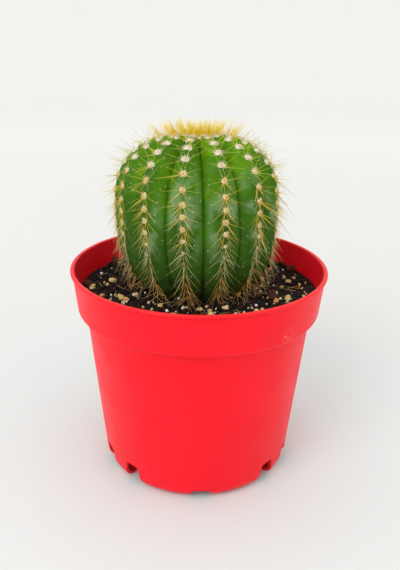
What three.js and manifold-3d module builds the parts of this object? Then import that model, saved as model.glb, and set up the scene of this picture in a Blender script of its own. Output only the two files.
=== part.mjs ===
// A round ribbed cactus in a plastic nursery pot, in millimetres with +Z up.
// The origin is the centre of the pot's foot, and the front faces -Y.
// Four pieces: the pot, the soil with its grit, the plant, and the tuft of young spines on its crown.

import * as THREE from "three";
import { mergeVertices } from "three/addons/utils/BufferGeometryUtils.js";
import Module from "manifold-3d";

const wasm = await Module();
wasm.setup();

// Driving dimensions

const GAP = 0.3; // clearance between neighbouring pieces
const DEGREE = Math.PI / 180;

const POT = {
  height: 100,
  rimRadius: 60,
  wall: 1.4,
  footRadius: 46.3, // where the sloping wall would meet the table
  slope: 0.0926, // outward run of the wall per millimetre of height
  corner: 6.5, // rounding of the bottom edge
  footRing: 1, // flat width of the ring that the pot stands on
  floor: 12.1, // underside of the raised floor
  collarBottom: 80,
  collarRadius: 57.4, // just above its rounded lower edge
  collarSlope: 0.1,
  collarRounding: 1.8,
  lipHeight: 1.7,
  lipRounding: 0.8,
  turn: 3.4, // how far the pot is turned from straight ahead, in degrees
  segments: 56,
};

const SMALL_NOTCH = { height: 5.2, foot: 13.6, top: 11.4 }; // widths in degrees round the pot
const LARGE_NOTCH = { height: 11.2, foot: 13.2, top: 9.6 };
const SMALL_NOTCHES = [0, 180];
const LARGE_NOTCHES = [43, 66.5, 113.5, 137]; // repeated on the other side
const NOTCH_ROUNDING = 1.5;
const NOTCH_REACH = { out: 6, in: 10 }; // how far it is cut to either side of the wall's foot
const DRAIN = { count: 6, radius: 3.5, ring: 28 };

// The plant's heights are along its own axis, which leans and crosses the height of its seat at x, y.
const PLANT = {
  x: -0.6,
  y: 0.6,
  seat: 88,
  leanBack: 6.5, // in degrees
  leanLeft: 1.2,
  ribs: 14,
  firstRib: -8, // turn of the first crest from straight ahead, in degrees
  uneven: 1.8, // how far the crests stray from even turns, in two waves round the plant
  radius: 37.5,
  widest: 128, // height of the widest level
  rise: 31.2, // from there to the top of the shoulders
  drop: 45, // half height of the lower curve
  roundTop: 2.5, // exponents of the two curves
  roundBase: 2.7,
  dimple: 2.2,
  dimpleRadius: 7,
};

// Groove depth and the bulge of a crest between two areoles both grow with height, from low to high,
// and with the distance from the axis, from the smooth middle of the crown to where they are open.
const GROOVE = { old: 2.4, young: 6, low: 112, high: 148, crown: 8, open: 20 };
const SWELL = { old: 0.35, young: 0.8, low: 140, high: 158, crown: 9, open: 17, fadeFrom: 104, soil: 88 };
const CREST = { points: 900, sweep: 0.89 }; // the crest line's points, and its share of a half turn
const BEAD_FADE = { crown: 14, open: 20, soil: 90, clear: 96 }; // no beads near the crown or the soil

const AREOLE = {
  young: 6.7, // spacing on the shoulder
  old: 5, // spacing from the flank down
  shoulderEnd: 45, // ways down the crest between which the spacing changes
  flankStart: 55,
  crown: 0.9, // areoles between the middle of the crown and the first rib's number 0
  bead: 0.7,
  highest: 10.5, // nearest to the middle of the crown that still stands on a rib
  lowest: 92.6,
};

const SPINE = {
  root: 0.42, // radius at the root
  sunk: 1.6,
  sides: 3,
  clear: 91.6, // no tip lies lower, so none meets the soil
  shortening: 0.35, // how much shorter the youngest are
  young: 157, // heights between which they open from a steep bunch to a wide fan
  old: 142,
  closed: 0.45, // share of the full lean in a steep bunch
};
const SPINES = [
  { lean: 58, turn: 175, length: 10.5, place: [-1, 0.7] }, // to one side, to the other, and out
  { lean: 58, turn: 5, length: 10.5, place: [1, 0.7] },
  { lean: 24, turn: 90, length: 14.2, place: [0.8, -0.9] },
];

const TUFT = { radius: 9.2, top: 160.8, spines: 84, length: 8.6, lean: 24 };

const SOIL = { level: 87.7, uneven: 0.45, segments: 40, grit: 44, bark: 6 };
const GRIT_REACH = [31, 52]; // nearest and furthest from the pot's axis
const BARK_REACH = [42, 48];
const HOLE_LEVELS = [87, 89, 91, 94, 97]; // heights along the plant, from the root to over the soil

const ROOT = [
  // radius and height of the buried root, from its tip up
  [9.6, 62],
  [13.6, 70],
  [16.6, 78],
];

const COLOURS = { pot: 0xfb2437, soil: 0x33261d, plant: 0x3f8a2c, tuft: 0xdcb238 };

// Small helpers

function seeded(seed) {
  let state = seed;
  return () => {
    state = (state + 0x6d2b79f5) | 0;
    let t = Math.imul(state ^ (state >>> 15), 1 | state);
    t = (t + Math.imul(t ^ (t >>> 7), 61 | t)) ^ t;
    return ((t ^ (t >>> 14)) >>> 0) / 4294967296;
  };
}

const between = (random, low, high) => low + (high - low) * random();
const smooth = (low, high, x) => THREE.MathUtils.smoothstep(x, low, high);

function solidOf(geometry) {
  geometry.deleteAttribute("normal");
  geometry.deleteAttribute("uv");
  const merged = mergeVertices(geometry, 1e-4);
  return new wasm.Manifold(
    new wasm.Mesh({
      numProp: 3,
      vertProperties: new Float32Array(merged.attributes.position.array),
      triVerts: new Uint32Array(merged.index.array),
    }),
  );
}

function geometryOf(solid) {
  const mesh = solid.getMesh();
  const geometry = new THREE.BufferGeometry();
  geometry.setAttribute("position", new THREE.BufferAttribute(mesh.vertProperties, 3));
  geometry.setIndex(new THREE.BufferAttribute(mesh.triVerts, 1));
  geometry.computeVertexNormals();
  return geometry;
}

function fuse(solids) {
  let layer = solids;
  while (layer.length > 1) {
    const next = [];
    for (let i = 0; i < layer.length; i += 2) {
      next.push(i + 1 < layer.length ? layer[i].add(layer[i + 1]) : layer[i]);
    }
    layer = next;
  }
  return layer[0];
}

function piece(name, geometry, colour, roughness) {
  const material = new THREE.MeshStandardMaterial({ color: colour, roughness, metalness: 0 });
  const mesh = new THREE.Mesh(geometry, material);
  mesh.name = name;
  return mesh;
}

// A closed surface from rings of points, from the bottom up, with a pole at each end.
function ringsGeometry(rings, bottom, top) {
  const columns = rings[0].length;
  const points = [bottom, ...rings.flat(), top];
  const at = (row, column) => 1 + row * columns + (column % columns);
  const last = points.length - 1;
  const index = [];
  for (let c = 0; c < columns; c++) {
    index.push(0, at(0, c + 1), at(0, c));
    for (let r = 0; r + 1 < rings.length; r++) {
      index.push(at(r, c), at(r, c + 1), at(r + 1, c + 1));
      index.push(at(r, c), at(r + 1, c + 1), at(r + 1, c));
    }
    index.push(last, at(rings.length - 1, c), at(rings.length - 1, c + 1));
  }
  const geometry = new THREE.BufferGeometry().setFromPoints(points);
  geometry.setIndex(index);
  return geometry;
}

function arc(x, y, radius, from, to, steps) {
  const points = [];
  for (let i = 0; i <= steps; i++) {
    const angle = (from + ((to - from) * i) / steps) * DEGREE;
    points.push([x + radius * Math.cos(angle), y + radius * Math.sin(angle)]);
  }
  return points;
}

// The lathe turns about its own Y, so its geometry is stood up to turn about Z.
function lathe(profile, segments) {
  const points = profile.map(([r, z]) => new THREE.Vector2(r, z));
  return new THREE.LatheGeometry(points, segments).rotateX(Math.PI / 2);
}

// The pot: a tapered wall with a collar and lip, and a raised floor inside a notched foot

const wallRadius = (z) => POT.footRadius + POT.slope * z;
const collarRadius = (z) =>
  POT.collarRadius + POT.collarSlope * (z - POT.collarBottom - POT.collarRounding);
const floorTop = POT.floor + POT.wall;
const lipBottom = POT.height - POT.lipHeight;
const stepTop = POT.collarBottom + POT.wall; // the inner side of the step under the collar

function potProfile() {
  const cornerX = wallRadius(POT.corner) - POT.corner;
  const roundX = POT.collarRadius - POT.collarRounding;
  const roundY = POT.collarBottom + POT.collarRounding;
  const lipX = POT.rimRadius - POT.lipRounding;
  const lipY = POT.height - POT.lipRounding;
  const outside = [
    [cornerX - POT.footRing, 0],
    ...arc(cornerX, POT.corner, POT.corner, -90, 0, 3),
    [wallRadius(POT.collarBottom), POT.collarBottom],
    ...arc(roundX, roundY, POT.collarRounding, -90, 0, 2),
    [collarRadius(lipBottom), lipBottom],
    ...arc(lipX, lipY, POT.lipRounding, -45, 90, 3),
  ];
  const inside = [
    [collarRadius(lipBottom) - POT.wall + 0.4, POT.height - 0.5],
    [collarRadius(roundY) - POT.wall, roundY + 0.8],
    [collarRadius(roundY) - POT.wall - 1, stepTop],
    [wallRadius(stepTop) - POT.wall, stepTop],
    [wallRadius(floorTop + 2) - POT.wall, floorTop + 2],
    [wallRadius(floorTop) - POT.wall - 2, floorTop],
    [0, floorTop],
    [0, POT.floor],
    [wallRadius(POT.floor) - POT.wall, POT.floor],
    ...arc(cornerX, POT.corner, POT.corner - POT.wall, 0, -90, 2),
    [cornerX - POT.footRing, POT.wall],
    [cornerX - POT.footRing, 0],
  ];
  return [...outside, ...inside];
}

// A notch is a plug with a rounded top, pushed out through the foot and cut away.
function notchPlug(notch, angle) {
  const reach = wallRadius(0);
  const foot = reach * Math.sin((notch.foot / 2) * DEGREE);
  const top = reach * Math.sin((notch.top / 2) * DEGREE);
  const round = NOTCH_ROUNDING;
  const shape = new THREE.Shape();
  shape.moveTo(-foot, -1);
  shape.lineTo(foot, -1);
  shape.lineTo(top, notch.height - round);
  shape.quadraticCurveTo(top, notch.height, top - round, notch.height);
  shape.lineTo(round - top, notch.height);
  shape.quadraticCurveTo(-top, notch.height, -top, notch.height - round);
  shape.closePath();
  const depth = NOTCH_REACH.out + NOTCH_REACH.in;
  const settings = { depth, bevelEnabled: false, curveSegments: 3 };
  const plug = new THREE.ExtrudeGeometry(shape, settings);
  plug.rotateX(Math.PI / 2).translate(0, NOTCH_REACH.in - reach, 0);
  return solidOf(plug.rotateZ((POT.turn + angle) * DEGREE));
}

function drainPlug(number) {
  const angle = (number / DRAIN.count) * 2 * Math.PI;
  const plug = new THREE.CylinderGeometry(DRAIN.radius, DRAIN.radius, 6, 12).rotateX(Math.PI / 2);
  plug.translate(DRAIN.ring * Math.cos(angle), DRAIN.ring * Math.sin(angle), POT.floor);
  return solidOf(plug);
}

function pot() {
  let solid = solidOf(lathe(potProfile(), POT.segments));
  for (const angle of SMALL_NOTCHES) solid = solid.subtract(notchPlug(SMALL_NOTCH, angle));
  for (const angle of LARGE_NOTCHES) {
    for (const side of [-1, 1]) solid = solid.subtract(notchPlug(LARGE_NOTCH, side * angle));
  }
  for (let i = 0; i < DRAIN.count; i++) solid = solid.subtract(drainPlug(i));
  return geometryOf(solid);
}

// The plant's outline: the line of a rib's crest, from the middle of the crown down to the soil

// Turns the upright plant about its seat, back and to the left.
const STANCE = new THREE.Matrix4()
  .makeTranslation(PLANT.x, PLANT.y, PLANT.seat)
  .multiply(new THREE.Matrix4().makeRotationY(-PLANT.leanLeft * DEGREE))
  .multiply(new THREE.Matrix4().makeRotationX(-PLANT.leanBack * DEGREE))
  .multiply(new THREE.Matrix4().makeTranslation(0, 0, -PLANT.seat));

function crestPoint(angle) {
  const above = angle > 0;
  const power = 2 / (above ? PLANT.roundTop : PLANT.roundBase);
  const r = PLANT.radius * Math.abs(Math.cos(angle)) ** power;
  const reach = above ? PLANT.rise : -PLANT.drop;
  const z = PLANT.widest + reach * Math.abs(Math.sin(angle)) ** power;
  const dip = PLANT.dimple * Math.exp(-((r / PLANT.dimpleRadius) ** 2));
  return new THREE.Vector2(r, above ? z - dip : z);
}

// Areoles stand wide apart on the young shoulder and close together from the flank down.
const areoleSpacing = (way) =>
  THREE.MathUtils.lerp(AREOLE.young, AREOLE.old, smooth(AREOLE.shoulderEnd, AREOLE.flankStart, way));

// Points down the crest, each with its way from the middle of the crown and its areole number.
const crestLine = (() => {
  const line = [{ point: crestPoint(Math.PI / 2), way: 0, number: -AREOLE.crown }];
  for (let i = 1; i <= CREST.points; i++) {
    const last = line[i - 1];
    const point = crestPoint((0.5 - (i / CREST.points) * CREST.sweep) * Math.PI);
    const step = point.distanceTo(last.point);
    const way = last.way + step;
    line.push({ point, way, number: last.number + step / areoleSpacing(way - step / 2) });
  }
  return line;
})();

// The two points of the crest line round a way or an areole number, and the share between them.
function crestStep(measure, value) {
  let i = crestLine.findIndex((entry) => entry[measure] >= value);
  i = Math.max(1, i < 0 ? crestLine.length - 1 : i);
  const [a, b] = [crestLine[i - 1], crestLine[i]];
  return { a, b, share: (value - a[measure]) / (b[measure] - a[measure]) };
}

// The crest at a way down from the crown: its point and its outward direction in the rib's plane.
function crestAt(way) {
  const { a, b, share } = crestStep("way", way);
  const along = b.point.clone().sub(a.point).normalize();
  return {
    point: a.point.clone().lerp(b.point, share),
    outward: new THREE.Vector2(-along.y, along.x),
    along,
  };
}

const wayAtHeight = (z) => crestLine.find(({ point, way }) => way > 30 && point.y <= z).way;

function areoleWay(number) {
  const { a, b, share } = crestStep("number", number);
  return THREE.MathUtils.lerp(a.way, b.way, share);
}

function areoleNumber(way) {
  const { a, b, share } = crestStep("way", way);
  return THREE.MathUtils.lerp(a.number, b.number, share);
}

// The areoles of every second rib stand halfway between those of its neighbours.
const ribStep = (rib) => (rib % 2) / 2;

function ribAngle(rib) {
  const stray = Math.sin((4 * Math.PI * (rib - 0.4)) / PLANT.ribs);
  return (PLANT.firstRib + (360 / PLANT.ribs) * rib + PLANT.uneven * stray) * DEGREE;
}

// A point at a distance from the plant's axis and a height along it.
function around(r, z, angle) {
  return new THREE.Vector3(r * Math.sin(angle), -r * Math.cos(angle), z).applyMatrix4(STANCE);
}

const grown = (form, r, z) =>
  THREE.MathUtils.lerp(form.old, form.young, smooth(form.low, form.high, z)) *
  smooth(form.crown, form.open, r);
const grooveDepth = (r, z) => grown(GROOVE, r, z);
const swell = (r, z) => grown(SWELL, r, z) * smooth(SWELL.soil, SWELL.fadeFrom, z);

const ROWS = 17; // areoles down a rib, counted to below the soil
const BURIED = 15; // from here down the skin has only one row for each
const CROWN_ROWS = [0.75, 0.45, 0.2];
const RIB_SAMPLES = [0, 0.3, 1, -0.3]; // across a rib: crest, flank, groove, flank of the next one

// The skin's rows follow each rib's own areoles, and close in evenly towards the middle of the crown.
function rowWay(number, step) {
  return number < 1 ? number * areoleWay(1 + step) : areoleWay(number + step);
}

// One point of the skin: a share across the rib, pushed in towards the groove. The crest
// carries a bead at each areole and swells out between two of them.
function skinPoint(rib, share, number) {
  const across = Math.abs(share);
  const step = ribStep(rib) * (1 - across);
  const way = rowWay(number, step);
  const { point, outward } = crestAt(way);
  const between = 0.5 - 0.5 * Math.cos(2 * Math.PI * (areoleNumber(way) - step));
  const hump = swell(point.x, point.y) * between * (1 - across);
  const shown =
    smooth(BEAD_FADE.crown, BEAD_FADE.open, point.x) * smooth(BEAD_FADE.soil, BEAD_FADE.clear, point.y);
  const onCrest = number % 1 === 0 ? Math.max(0, 1 - across * 3) : 0;
  const bead = AREOLE.bead * onCrest * shown;
  const push = bead + hump - grooveDepth(point.x, point.y) * across ** 1.7;
  const r = point.x + outward.x * push;
  const z = point.y + outward.y * push;
  return around(r, z, ribAngle(rib + share / 2));
}

function skinRing(number) {
  const ring = [];
  for (let rib = 0; rib < PLANT.ribs; rib++) {
    for (const share of RIB_SAMPLES) ring.push(skinPoint(share < 0 ? rib + 1 : rib, share, number));
  }
  return ring;
}

function rootRing(r, z) {
  const columns = PLANT.ribs * RIB_SAMPLES.length;
  return Array.from({ length: columns }, (_, c) => around(r, z, ribAngle((c * PLANT.ribs) / columns)));
}

function flesh() {
  const rings = ROOT.map(([r, z]) => rootRing(r, z));
  for (let number = ROWS; number > BURIED; number -= 1) rings.push(skinRing(number));
  for (let number = BURIED; number >= 1; number -= 0.5) rings.push(skinRing(number));
  for (const number of CROWN_ROWS) rings.push(skinRing(number));
  const tip = around(0, ROOT[0][1] - 3, 0);
  const crown = crestAt(0).point;
  return solidOf(ringsGeometry(rings, tip, around(0, crown.y, 0)));
}

// A spine is a slim three-sided needle whose root is sunk in what it grows from.
function spineGeometry(root, direction, length) {
  const needle = new THREE.ConeGeometry(SPINE.root, length + SPINE.sunk, SPINE.sides);
  needle.translate(0, (length + SPINE.sunk) / 2 - SPINE.sunk, 0);
  const turn = new THREE.Quaternion().setFromUnitVectors(new THREE.Vector3(0, 1, 0), direction);
  return solidOf(needle.applyQuaternion(turn).translate(root.x, root.y, root.z));
}

// Spines low on the plant are bent up to pass clear over the soil.
function clearOfSoil(root, direction, length) {
  const drop = (SPINE.clear - root.z) / length;
  if (direction.z >= drop) return direction;
  const flat = Math.hypot(direction.x, direction.y);
  const kept = Math.sqrt(1 - drop * drop) / flat;
  return new THREE.Vector3(direction.x * kept, direction.y * kept, drop);
}

function areoleSpines(rib, number, random) {
  const { point, outward, along } = crestAt(areoleWay(number));
  const angle = ribAngle(rib);
  const out = around(outward.x, outward.y, angle).sub(around(0, 0, 0)).normalize();
  const down = around(along.x, along.y, angle).sub(around(0, 0, 0)).normalize();
  const side = new THREE.Vector3().crossVectors(down, out);
  const crest = around(point.x, point.y, angle);
  const age = 1 - smooth(SPINE.old, SPINE.young, point.y);
  const full = 1 - SPINE.shortening * (1 - age);
  return SPINES.map(({ lean, turn, length, place }) => {
    const root = crest.clone().addScaledVector(side, place[0]).addScaledVector(down, place[1]);
    const opened = THREE.MathUtils.lerp(SPINE.closed, 1, age);
    const tilt = (lean * opened + between(random, -9, 9)) * DEGREE;
    const swing = (turn + between(random, -22, 22)) * DEGREE;
    const spread = side.clone().multiplyScalar(Math.cos(swing));
    spread.addScaledVector(down, Math.sin(swing) * (0.5 + 0.5 * age));
    const direction = out.clone().multiplyScalar(Math.cos(tilt));
    direction.addScaledVector(spread.normalize(), Math.sin(tilt)).normalize();
    const reach = length * between(random, 0.85, 1.15) * full;
    return spineGeometry(root, clearOfSoil(root, direction, reach), reach);
  });
}

function plant() {
  const random = seeded(13);
  const spines = [];
  for (let rib = 0; rib < PLANT.ribs; rib++) {
    for (let count = 0; count < ROWS; count++) {
      const number = count + ribStep(rib);
      const way = areoleWay(number);
      const { point } = crestAt(way);
      const low = around(point.x, point.y, ribAngle(rib)).z < AREOLE.lowest;
      if (way >= AREOLE.highest && !low) spines.push(...areoleSpines(rib, number, random));
    }
  }
  return geometryOf(flesh().add(fuse(spines)));
}

// The crown tuft: a cushion of wool in the dimple, with young spines standing up out of it

function tuftProfile() {
  const underside = [];
  for (let i = 0; i <= 4; i++) {
    const { point } = crestAt((TUFT.radius * i) / 4);
    underside.push([i === 0 ? 0 : point.x, point.y + GAP]);
  }
  const [edge, foot] = underside[4];
  return [...underside, [edge + 0.5, foot + 0.7], [edge - 1.2, TUFT.top - 0.4], [0, TUFT.top]];
}

function tuft() {
  const random = seeded(29);
  const cushion = solidOf(lathe(tuftProfile(), 20).applyMatrix4(STANCE));
  const goldenAngle = Math.PI * (3 - Math.sqrt(5));
  const spines = [];
  for (let i = 0; i < TUFT.spines; i++) {
    const share = Math.sqrt((i + 0.5) / TUFT.spines);
    const angle = i * goldenAngle;
    const lean = (TUFT.lean * share + between(random, -4, 4)) * DEGREE;
    const out = around(Math.sin(lean), Math.cos(lean), angle).sub(around(0, 0, 0));
    const root = around((TUFT.radius - 1.4) * share, TUFT.top - 0.5, angle);
    spines.push(spineGeometry(root, out, TUFT.length * between(random, 0.75, 1)));
  }
  return geometryOf(cushion.add(fuse(spines)));
}

// The soil: a body that fills the pot round the root, with grit and bark on its uneven top

const soilHeight = (x, y) =>
  SOIL.level +
  SOIL.uneven * (Math.sin(x * 0.31 + 1) * Math.cos(y * 0.27) + 0.6 * Math.sin(x * 0.13 - y * 0.19));

function soilRing(r, z) {
  return Array.from({ length: SOIL.segments }, (_, c) => {
    const angle = (c / SOIL.segments) * 2 * Math.PI;
    const [x, y] = [r * Math.cos(angle), r * Math.sin(angle)];
    return new THREE.Vector3(x, y, z ?? soilHeight(x, y));
  });
}

function soilBody() {
  const inner = POT.wall + GAP;
  const side = [
    [wallRadius(floorTop) - inner - 2, floorTop + GAP],
    [wallRadius(floorTop + 2.6) - inner, floorTop + 2.7],
    [wallRadius(stepTop) - inner, stepTop + GAP],
    [collarRadius(stepTop) - inner - 1.2, stepTop + GAP],
    [collarRadius(stepTop) - inner - 0.2, stepTop + 2],
  ];
  const edge = collarRadius(SOIL.level) - inner - 0.2;
  const rings = side.map(([r, z]) => soilRing(r, z));
  for (const r of [edge, 50, 42, 34, 27]) rings.push(soilRing(r));
  const bottom = new THREE.Vector3(0, 0, floorTop + GAP);
  return solidOf(ringsGeometry(rings, bottom, new THREE.Vector3(0, 0, SOIL.level)));
}

// The hole keeps the plant's own clearance all the way down its leaning root.
function rootHole() {
  const profile = [[0, ROOT[0][1] - 3 - GAP], ...ROOT.map(([r, z]) => [r + GAP * 1.4, z - GAP])];
  for (const z of HOLE_LEVELS) {
    profile.push([crestAt(wayAtHeight(z)).point.x + GAP * 1.6, z - GAP]);
  }
  profile.push([0, HOLE_LEVELS[HOLE_LEVELS.length - 1] - GAP]);
  return solidOf(lathe(profile, SOIL.segments).applyMatrix4(STANCE));
}

function chip(geometry, random, reach) {
  const angle = between(random, 0, 2 * Math.PI);
  const r = between(random, reach[0], reach[1]);
  const [x, y] = [r * Math.cos(angle), r * Math.sin(angle)];
  geometry.rotateX(between(random, 0, 3)).rotateZ(between(random, 0, 6));
  return { x, y, geometry };
}

function soil() {
  const random = seeded(7);
  const bits = [];
  for (let i = 0; i < SOIL.grit; i++) {
    const size = between(random, 1.1, 2.3);
    const stone = new THREE.OctahedronGeometry(size).scale(1, between(random, 0.7, 1), 0.8);
    const { x, y, geometry } = chip(stone, random, GRIT_REACH);
    bits.push(solidOf(geometry.translate(x, y, soilHeight(x, y) + size * 0.15)));
  }
  for (let i = 0; i < SOIL.bark; i++) {
    const slab = new THREE.BoxGeometry(between(random, 5, 8), 3.4, 2);
    const { x, y, geometry } = chip(slab, random, BARK_REACH);
    bits.push(solidOf(geometry.translate(x, y, soilHeight(x, y) + 0.4)));
  }
  return geometryOf(soilBody().add(fuse(bits)).subtract(rootHole()));
}

const cactus = new THREE.Group();
cactus.add(piece("pot", pot(), COLOURS.pot, 0.45));
cactus.add(piece("soil", soil(), COLOURS.soil, 0.95));
cactus.add(piece("cactus", plant(), COLOURS.plant, 0.55));
cactus.add(piece("crown_tuft", tuft(), COLOURS.tuft, 0.7));

export default cactus;
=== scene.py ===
# %% [markdown]
# # A round cactus in a red nursery pot
#
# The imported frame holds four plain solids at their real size: the pot, its soil, the ribbed
# plant and the tuft of young spines on its crown. Each of them is rebuilt here as finer
# meshes in the same place, and each surface gets a finish of its own.

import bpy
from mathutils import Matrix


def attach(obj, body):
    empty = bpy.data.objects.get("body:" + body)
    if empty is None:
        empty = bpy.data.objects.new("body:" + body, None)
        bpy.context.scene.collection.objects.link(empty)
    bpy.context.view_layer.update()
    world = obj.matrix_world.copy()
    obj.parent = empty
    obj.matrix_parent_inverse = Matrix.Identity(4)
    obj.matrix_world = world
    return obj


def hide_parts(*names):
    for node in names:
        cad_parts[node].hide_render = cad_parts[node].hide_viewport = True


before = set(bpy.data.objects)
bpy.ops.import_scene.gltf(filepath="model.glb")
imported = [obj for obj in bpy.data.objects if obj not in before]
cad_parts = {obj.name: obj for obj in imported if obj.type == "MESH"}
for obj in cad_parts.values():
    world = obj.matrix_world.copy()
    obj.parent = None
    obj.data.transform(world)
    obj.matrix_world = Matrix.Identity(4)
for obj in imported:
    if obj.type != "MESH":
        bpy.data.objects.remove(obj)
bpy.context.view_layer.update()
print("frame nodes:", sorted(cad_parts))

# %% [markdown]
# ## One way to make every mesh
#
# A plant is easiest to describe with a ruler, so every size below is in millimetres, with the
# origin at the middle of the pot's foot, the front towards -Y and +Z up. One maker turns the
# points into metres, shades the mesh smooth and lets it ride on the part's only body. Numbers
# that vary over a piece, such as the height of the skin, are stored on its points, and the
# materials read them there. A painted picture would do too, but this keeps a colour tied to
# growth.

# %% Mesh maker
import math

import bmesh
import bpy
import numpy as np
from mathutils import Matrix, Vector, noise

MM = 0.001
scene = bpy.context.scene


def mesh_object(name, points, faces):
    """A mesh from points in millimetres, placed in the scene."""
    mesh = bpy.data.meshes.new(name)
    mesh.from_pydata((np.asarray(points, float) * MM).tolist(), [], faces)
    made = bpy.data.objects.new(name, mesh)
    scene.collection.objects.link(made)
    return made


def dress(made, surface):
    """Smooth shading and a surface for a mesh."""
    made.data.shade_smooth()
    made.data.materials.append(surface)


def mesh_piece(name, points, faces, surface, slot, replaces=()):
    """A piece of the part, which may take the place of plain solids."""
    piece = mesh_object(name, points, faces)
    dress(piece, surface)
    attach(piece, "root")
    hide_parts(*replaces)
    triangles = sum(len(polygon.vertices) - 2 for polygon in piece.data.polygons)
    print(f"{name}: {triangles} triangles")
    return piece


def store(piece, name, values):
    """One number for each point of a piece, for its material to read."""
    layer = piece.data.attributes.new(name, "FLOAT", "POINT")
    layer.data.foreach_set("value", np.asarray(values, np.float32).ravel())


print("a size of 60 mm becomes", 60 * MM, "m")

# %% Numbers and directions


def smooth(low, high, x):
    """An even rise from 0 at the low end to 1 at the high one."""
    t = np.clip((x - low) / (high - low), 0, 1)
    return t * t * (3 - 2 * t)


def mix(first, last, share):
    return first + (last - first) * share


def unit(vectors):
    return vectors / np.linalg.norm(vectors, axis=-1, keepdims=True)


print("a rise at its quarter, half and three quarters:", smooth(0, 1, np.array([0.25, 0.5, 0.75])))

# %% [markdown]
# ### Faces between rings of points
#
# Pot, plant, wool and spines are all made of rings of points. The faces that join one ring to
# the next follow the same count every time, so they are written once. A ring can end in a flat
# base, or in a fan of triangles round one point.

# %% Ring faces


def ring_faces(columns, rows, start=0):
    """The faces between rings that follow one another, the first of them at a start."""
    faces = []
    for row in range(rows - 1):
        a = start + row * columns
        for c in range(columns):
            d = (c + 1) % columns
            faces.append((a + c, a + d, a + columns + d, a + columns + c))
    return faces


def fan(columns, start, pole):
    return [(start + c, start + (c + 1) % columns, pole) for c in range(columns)]


def capped_faces(columns, rows):
    """Rings with a flat base under the first and one point over the last."""
    last = (rows - 1) * columns
    base = tuple(reversed(range(columns)))
    return [base, *ring_faces(columns, rows), *fan(columns, last, last + columns)]


def joined(parts):
    """One list of points and faces from several."""
    points, faces = [], []
    for some_points, some_faces in parts:
        start = len(points)
        points += list(some_points)
        faces += [tuple(start + p for p in face) for face in some_faces]
    return points, faces


print("faces of a cone on three rings of eight points:", len(capped_faces(8, 3)))

# %% [markdown]
# ## The camera
#
# The picture is taken from a little above, close enough for the near rim to look lower and
# wider than the far one. A lens of 38 mm on a frame 36 mm high gives that same perspective at
# this distance. A longer lens from further away would flatten it. The camera leans a degree to
# one side, as one held in the hand does.

# %% Camera
CAMERA_PLACE = (0, -267.29, 196.79)
CAMERA_PITCH = 22.02  # degrees below the horizon
CAMERA_ROLL = 1.04
PICTURE = (400, 570)  # width and height in pixels
FOCAL_PIXELS = 600
FRAME_HEIGHT = 36
MIDDLE_PIXEL = 198.84  # where the lens axis meets the picture, across

camera = bpy.data.objects.new("camera", bpy.data.cameras.new("camera"))
scene.collection.objects.link(camera)
camera.data.sensor_fit = "VERTICAL"
camera.data.sensor_height = FRAME_HEIGHT
camera.data.lens = FRAME_HEIGHT * FOCAL_PIXELS / PICTURE[1]
camera.data.shift_x = (PICTURE[0] / 2 - MIDDLE_PIXEL) / PICTURE[1]
camera.data.clip_start = 10 * MM
camera.matrix_world = (
    Matrix.Translation(Vector(CAMERA_PLACE) * MM)
    @ Matrix.Rotation(math.radians(90 - CAMERA_PITCH), 4, "X")
    @ Matrix.Rotation(math.radians(CAMERA_ROLL), 4, "Z")
)
scene.camera = camera
print(f"camera lens {camera.data.lens:.2f} mm")

# %% [markdown]
# ## Building materials from nodes
#
# A shader can be wired by hand, but the same few lines come back for every node, so a small
# helper adds a node, sets what is a setting and links what is a socket. Colours are written as
# a painter would read them off a screen, from 0 to 255, and turned into the linear light
# values that a shader needs. Numbers that are the same all over a surface need no node and are
# set on the shader itself.

# %% Node helpers


def linear(red, green, blue):
    def channel(value):
        share = value / 255
        return share / 12.92 if share <= 0.04045 else ((share + 0.055) / 1.055) ** 2.4

    return (channel(red), channel(green), channel(blue), 1)


def add(tree, kind, settings=None, **sockets):
    """A new node: settings are its own choices, sockets are values or links, by their names."""
    made = tree.nodes.new("ShaderNode" + kind)
    for key, value in (settings or {}).items():
        setattr(made, key, value)
    for key, value in sockets.items():
        plug(tree, made.inputs[key.replace("_", " ")], value)
    return made


def plug(tree, socket, value):
    if isinstance(value, bpy.types.NodeSocket):
        tree.links.new(value, socket)
    else:
        socket.default_value = value


def blend(tree, factor, first, second):
    mixer = add(tree, "Mix", {"data_type": "RGBA"})
    plug(tree, mixer.inputs[0], factor)
    plug(tree, mixer.inputs[6], first)
    plug(tree, mixer.inputs[7], second)
    return mixer.outputs[2]


def math_node(tree, operation, *values):
    made = add(tree, "Math", {"operation": operation})
    for socket, value in zip(made.inputs, values):
        plug(tree, socket, value)
    return made.outputs[0]


def lay_over(tree, colour, mask, strength, other):
    """Another colour laid over the first one where a mask is, as strong as it may get."""
    return blend(tree, math_node(tree, "MULTIPLY", mask, strength), colour, other)


def rise(tree, value, low, high, **ends):
    """How far a value has come from a low one to a high one, from 0 to 1 or between two ends."""
    return add(tree, "MapRange", Value=value, From_Min=low, From_Max=high, **ends).outputs[0]


def stored(tree, name):
    return add(tree, "Attribute", {"attribute_name": name}).outputs["Fac"]


def ramp(tree, factor, stops):
    """A colour ramp from pairs of a place and a colour."""
    made = add(tree, "ValToRGB", Fac=factor)
    elements = made.color_ramp.elements
    while len(elements) < len(stops):
        elements.new(0.5)
    for element, (place, colour) in zip(elements, stops):
        element.position = place
        element.color = colour
    return made.outputs["Color"]


def material(name):
    made = bpy.data.materials.new(name)
    made.use_nodes = True
    return made, made.node_tree, made.node_tree.nodes["Principled BSDF"]


def set_evenly(shader, **values):
    for key, value in values.items():
        shader.inputs[key.replace("_", " ")].default_value = value


print("middle grey as linear light:", round(linear(128, 128, 128)[0], 3))

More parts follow.
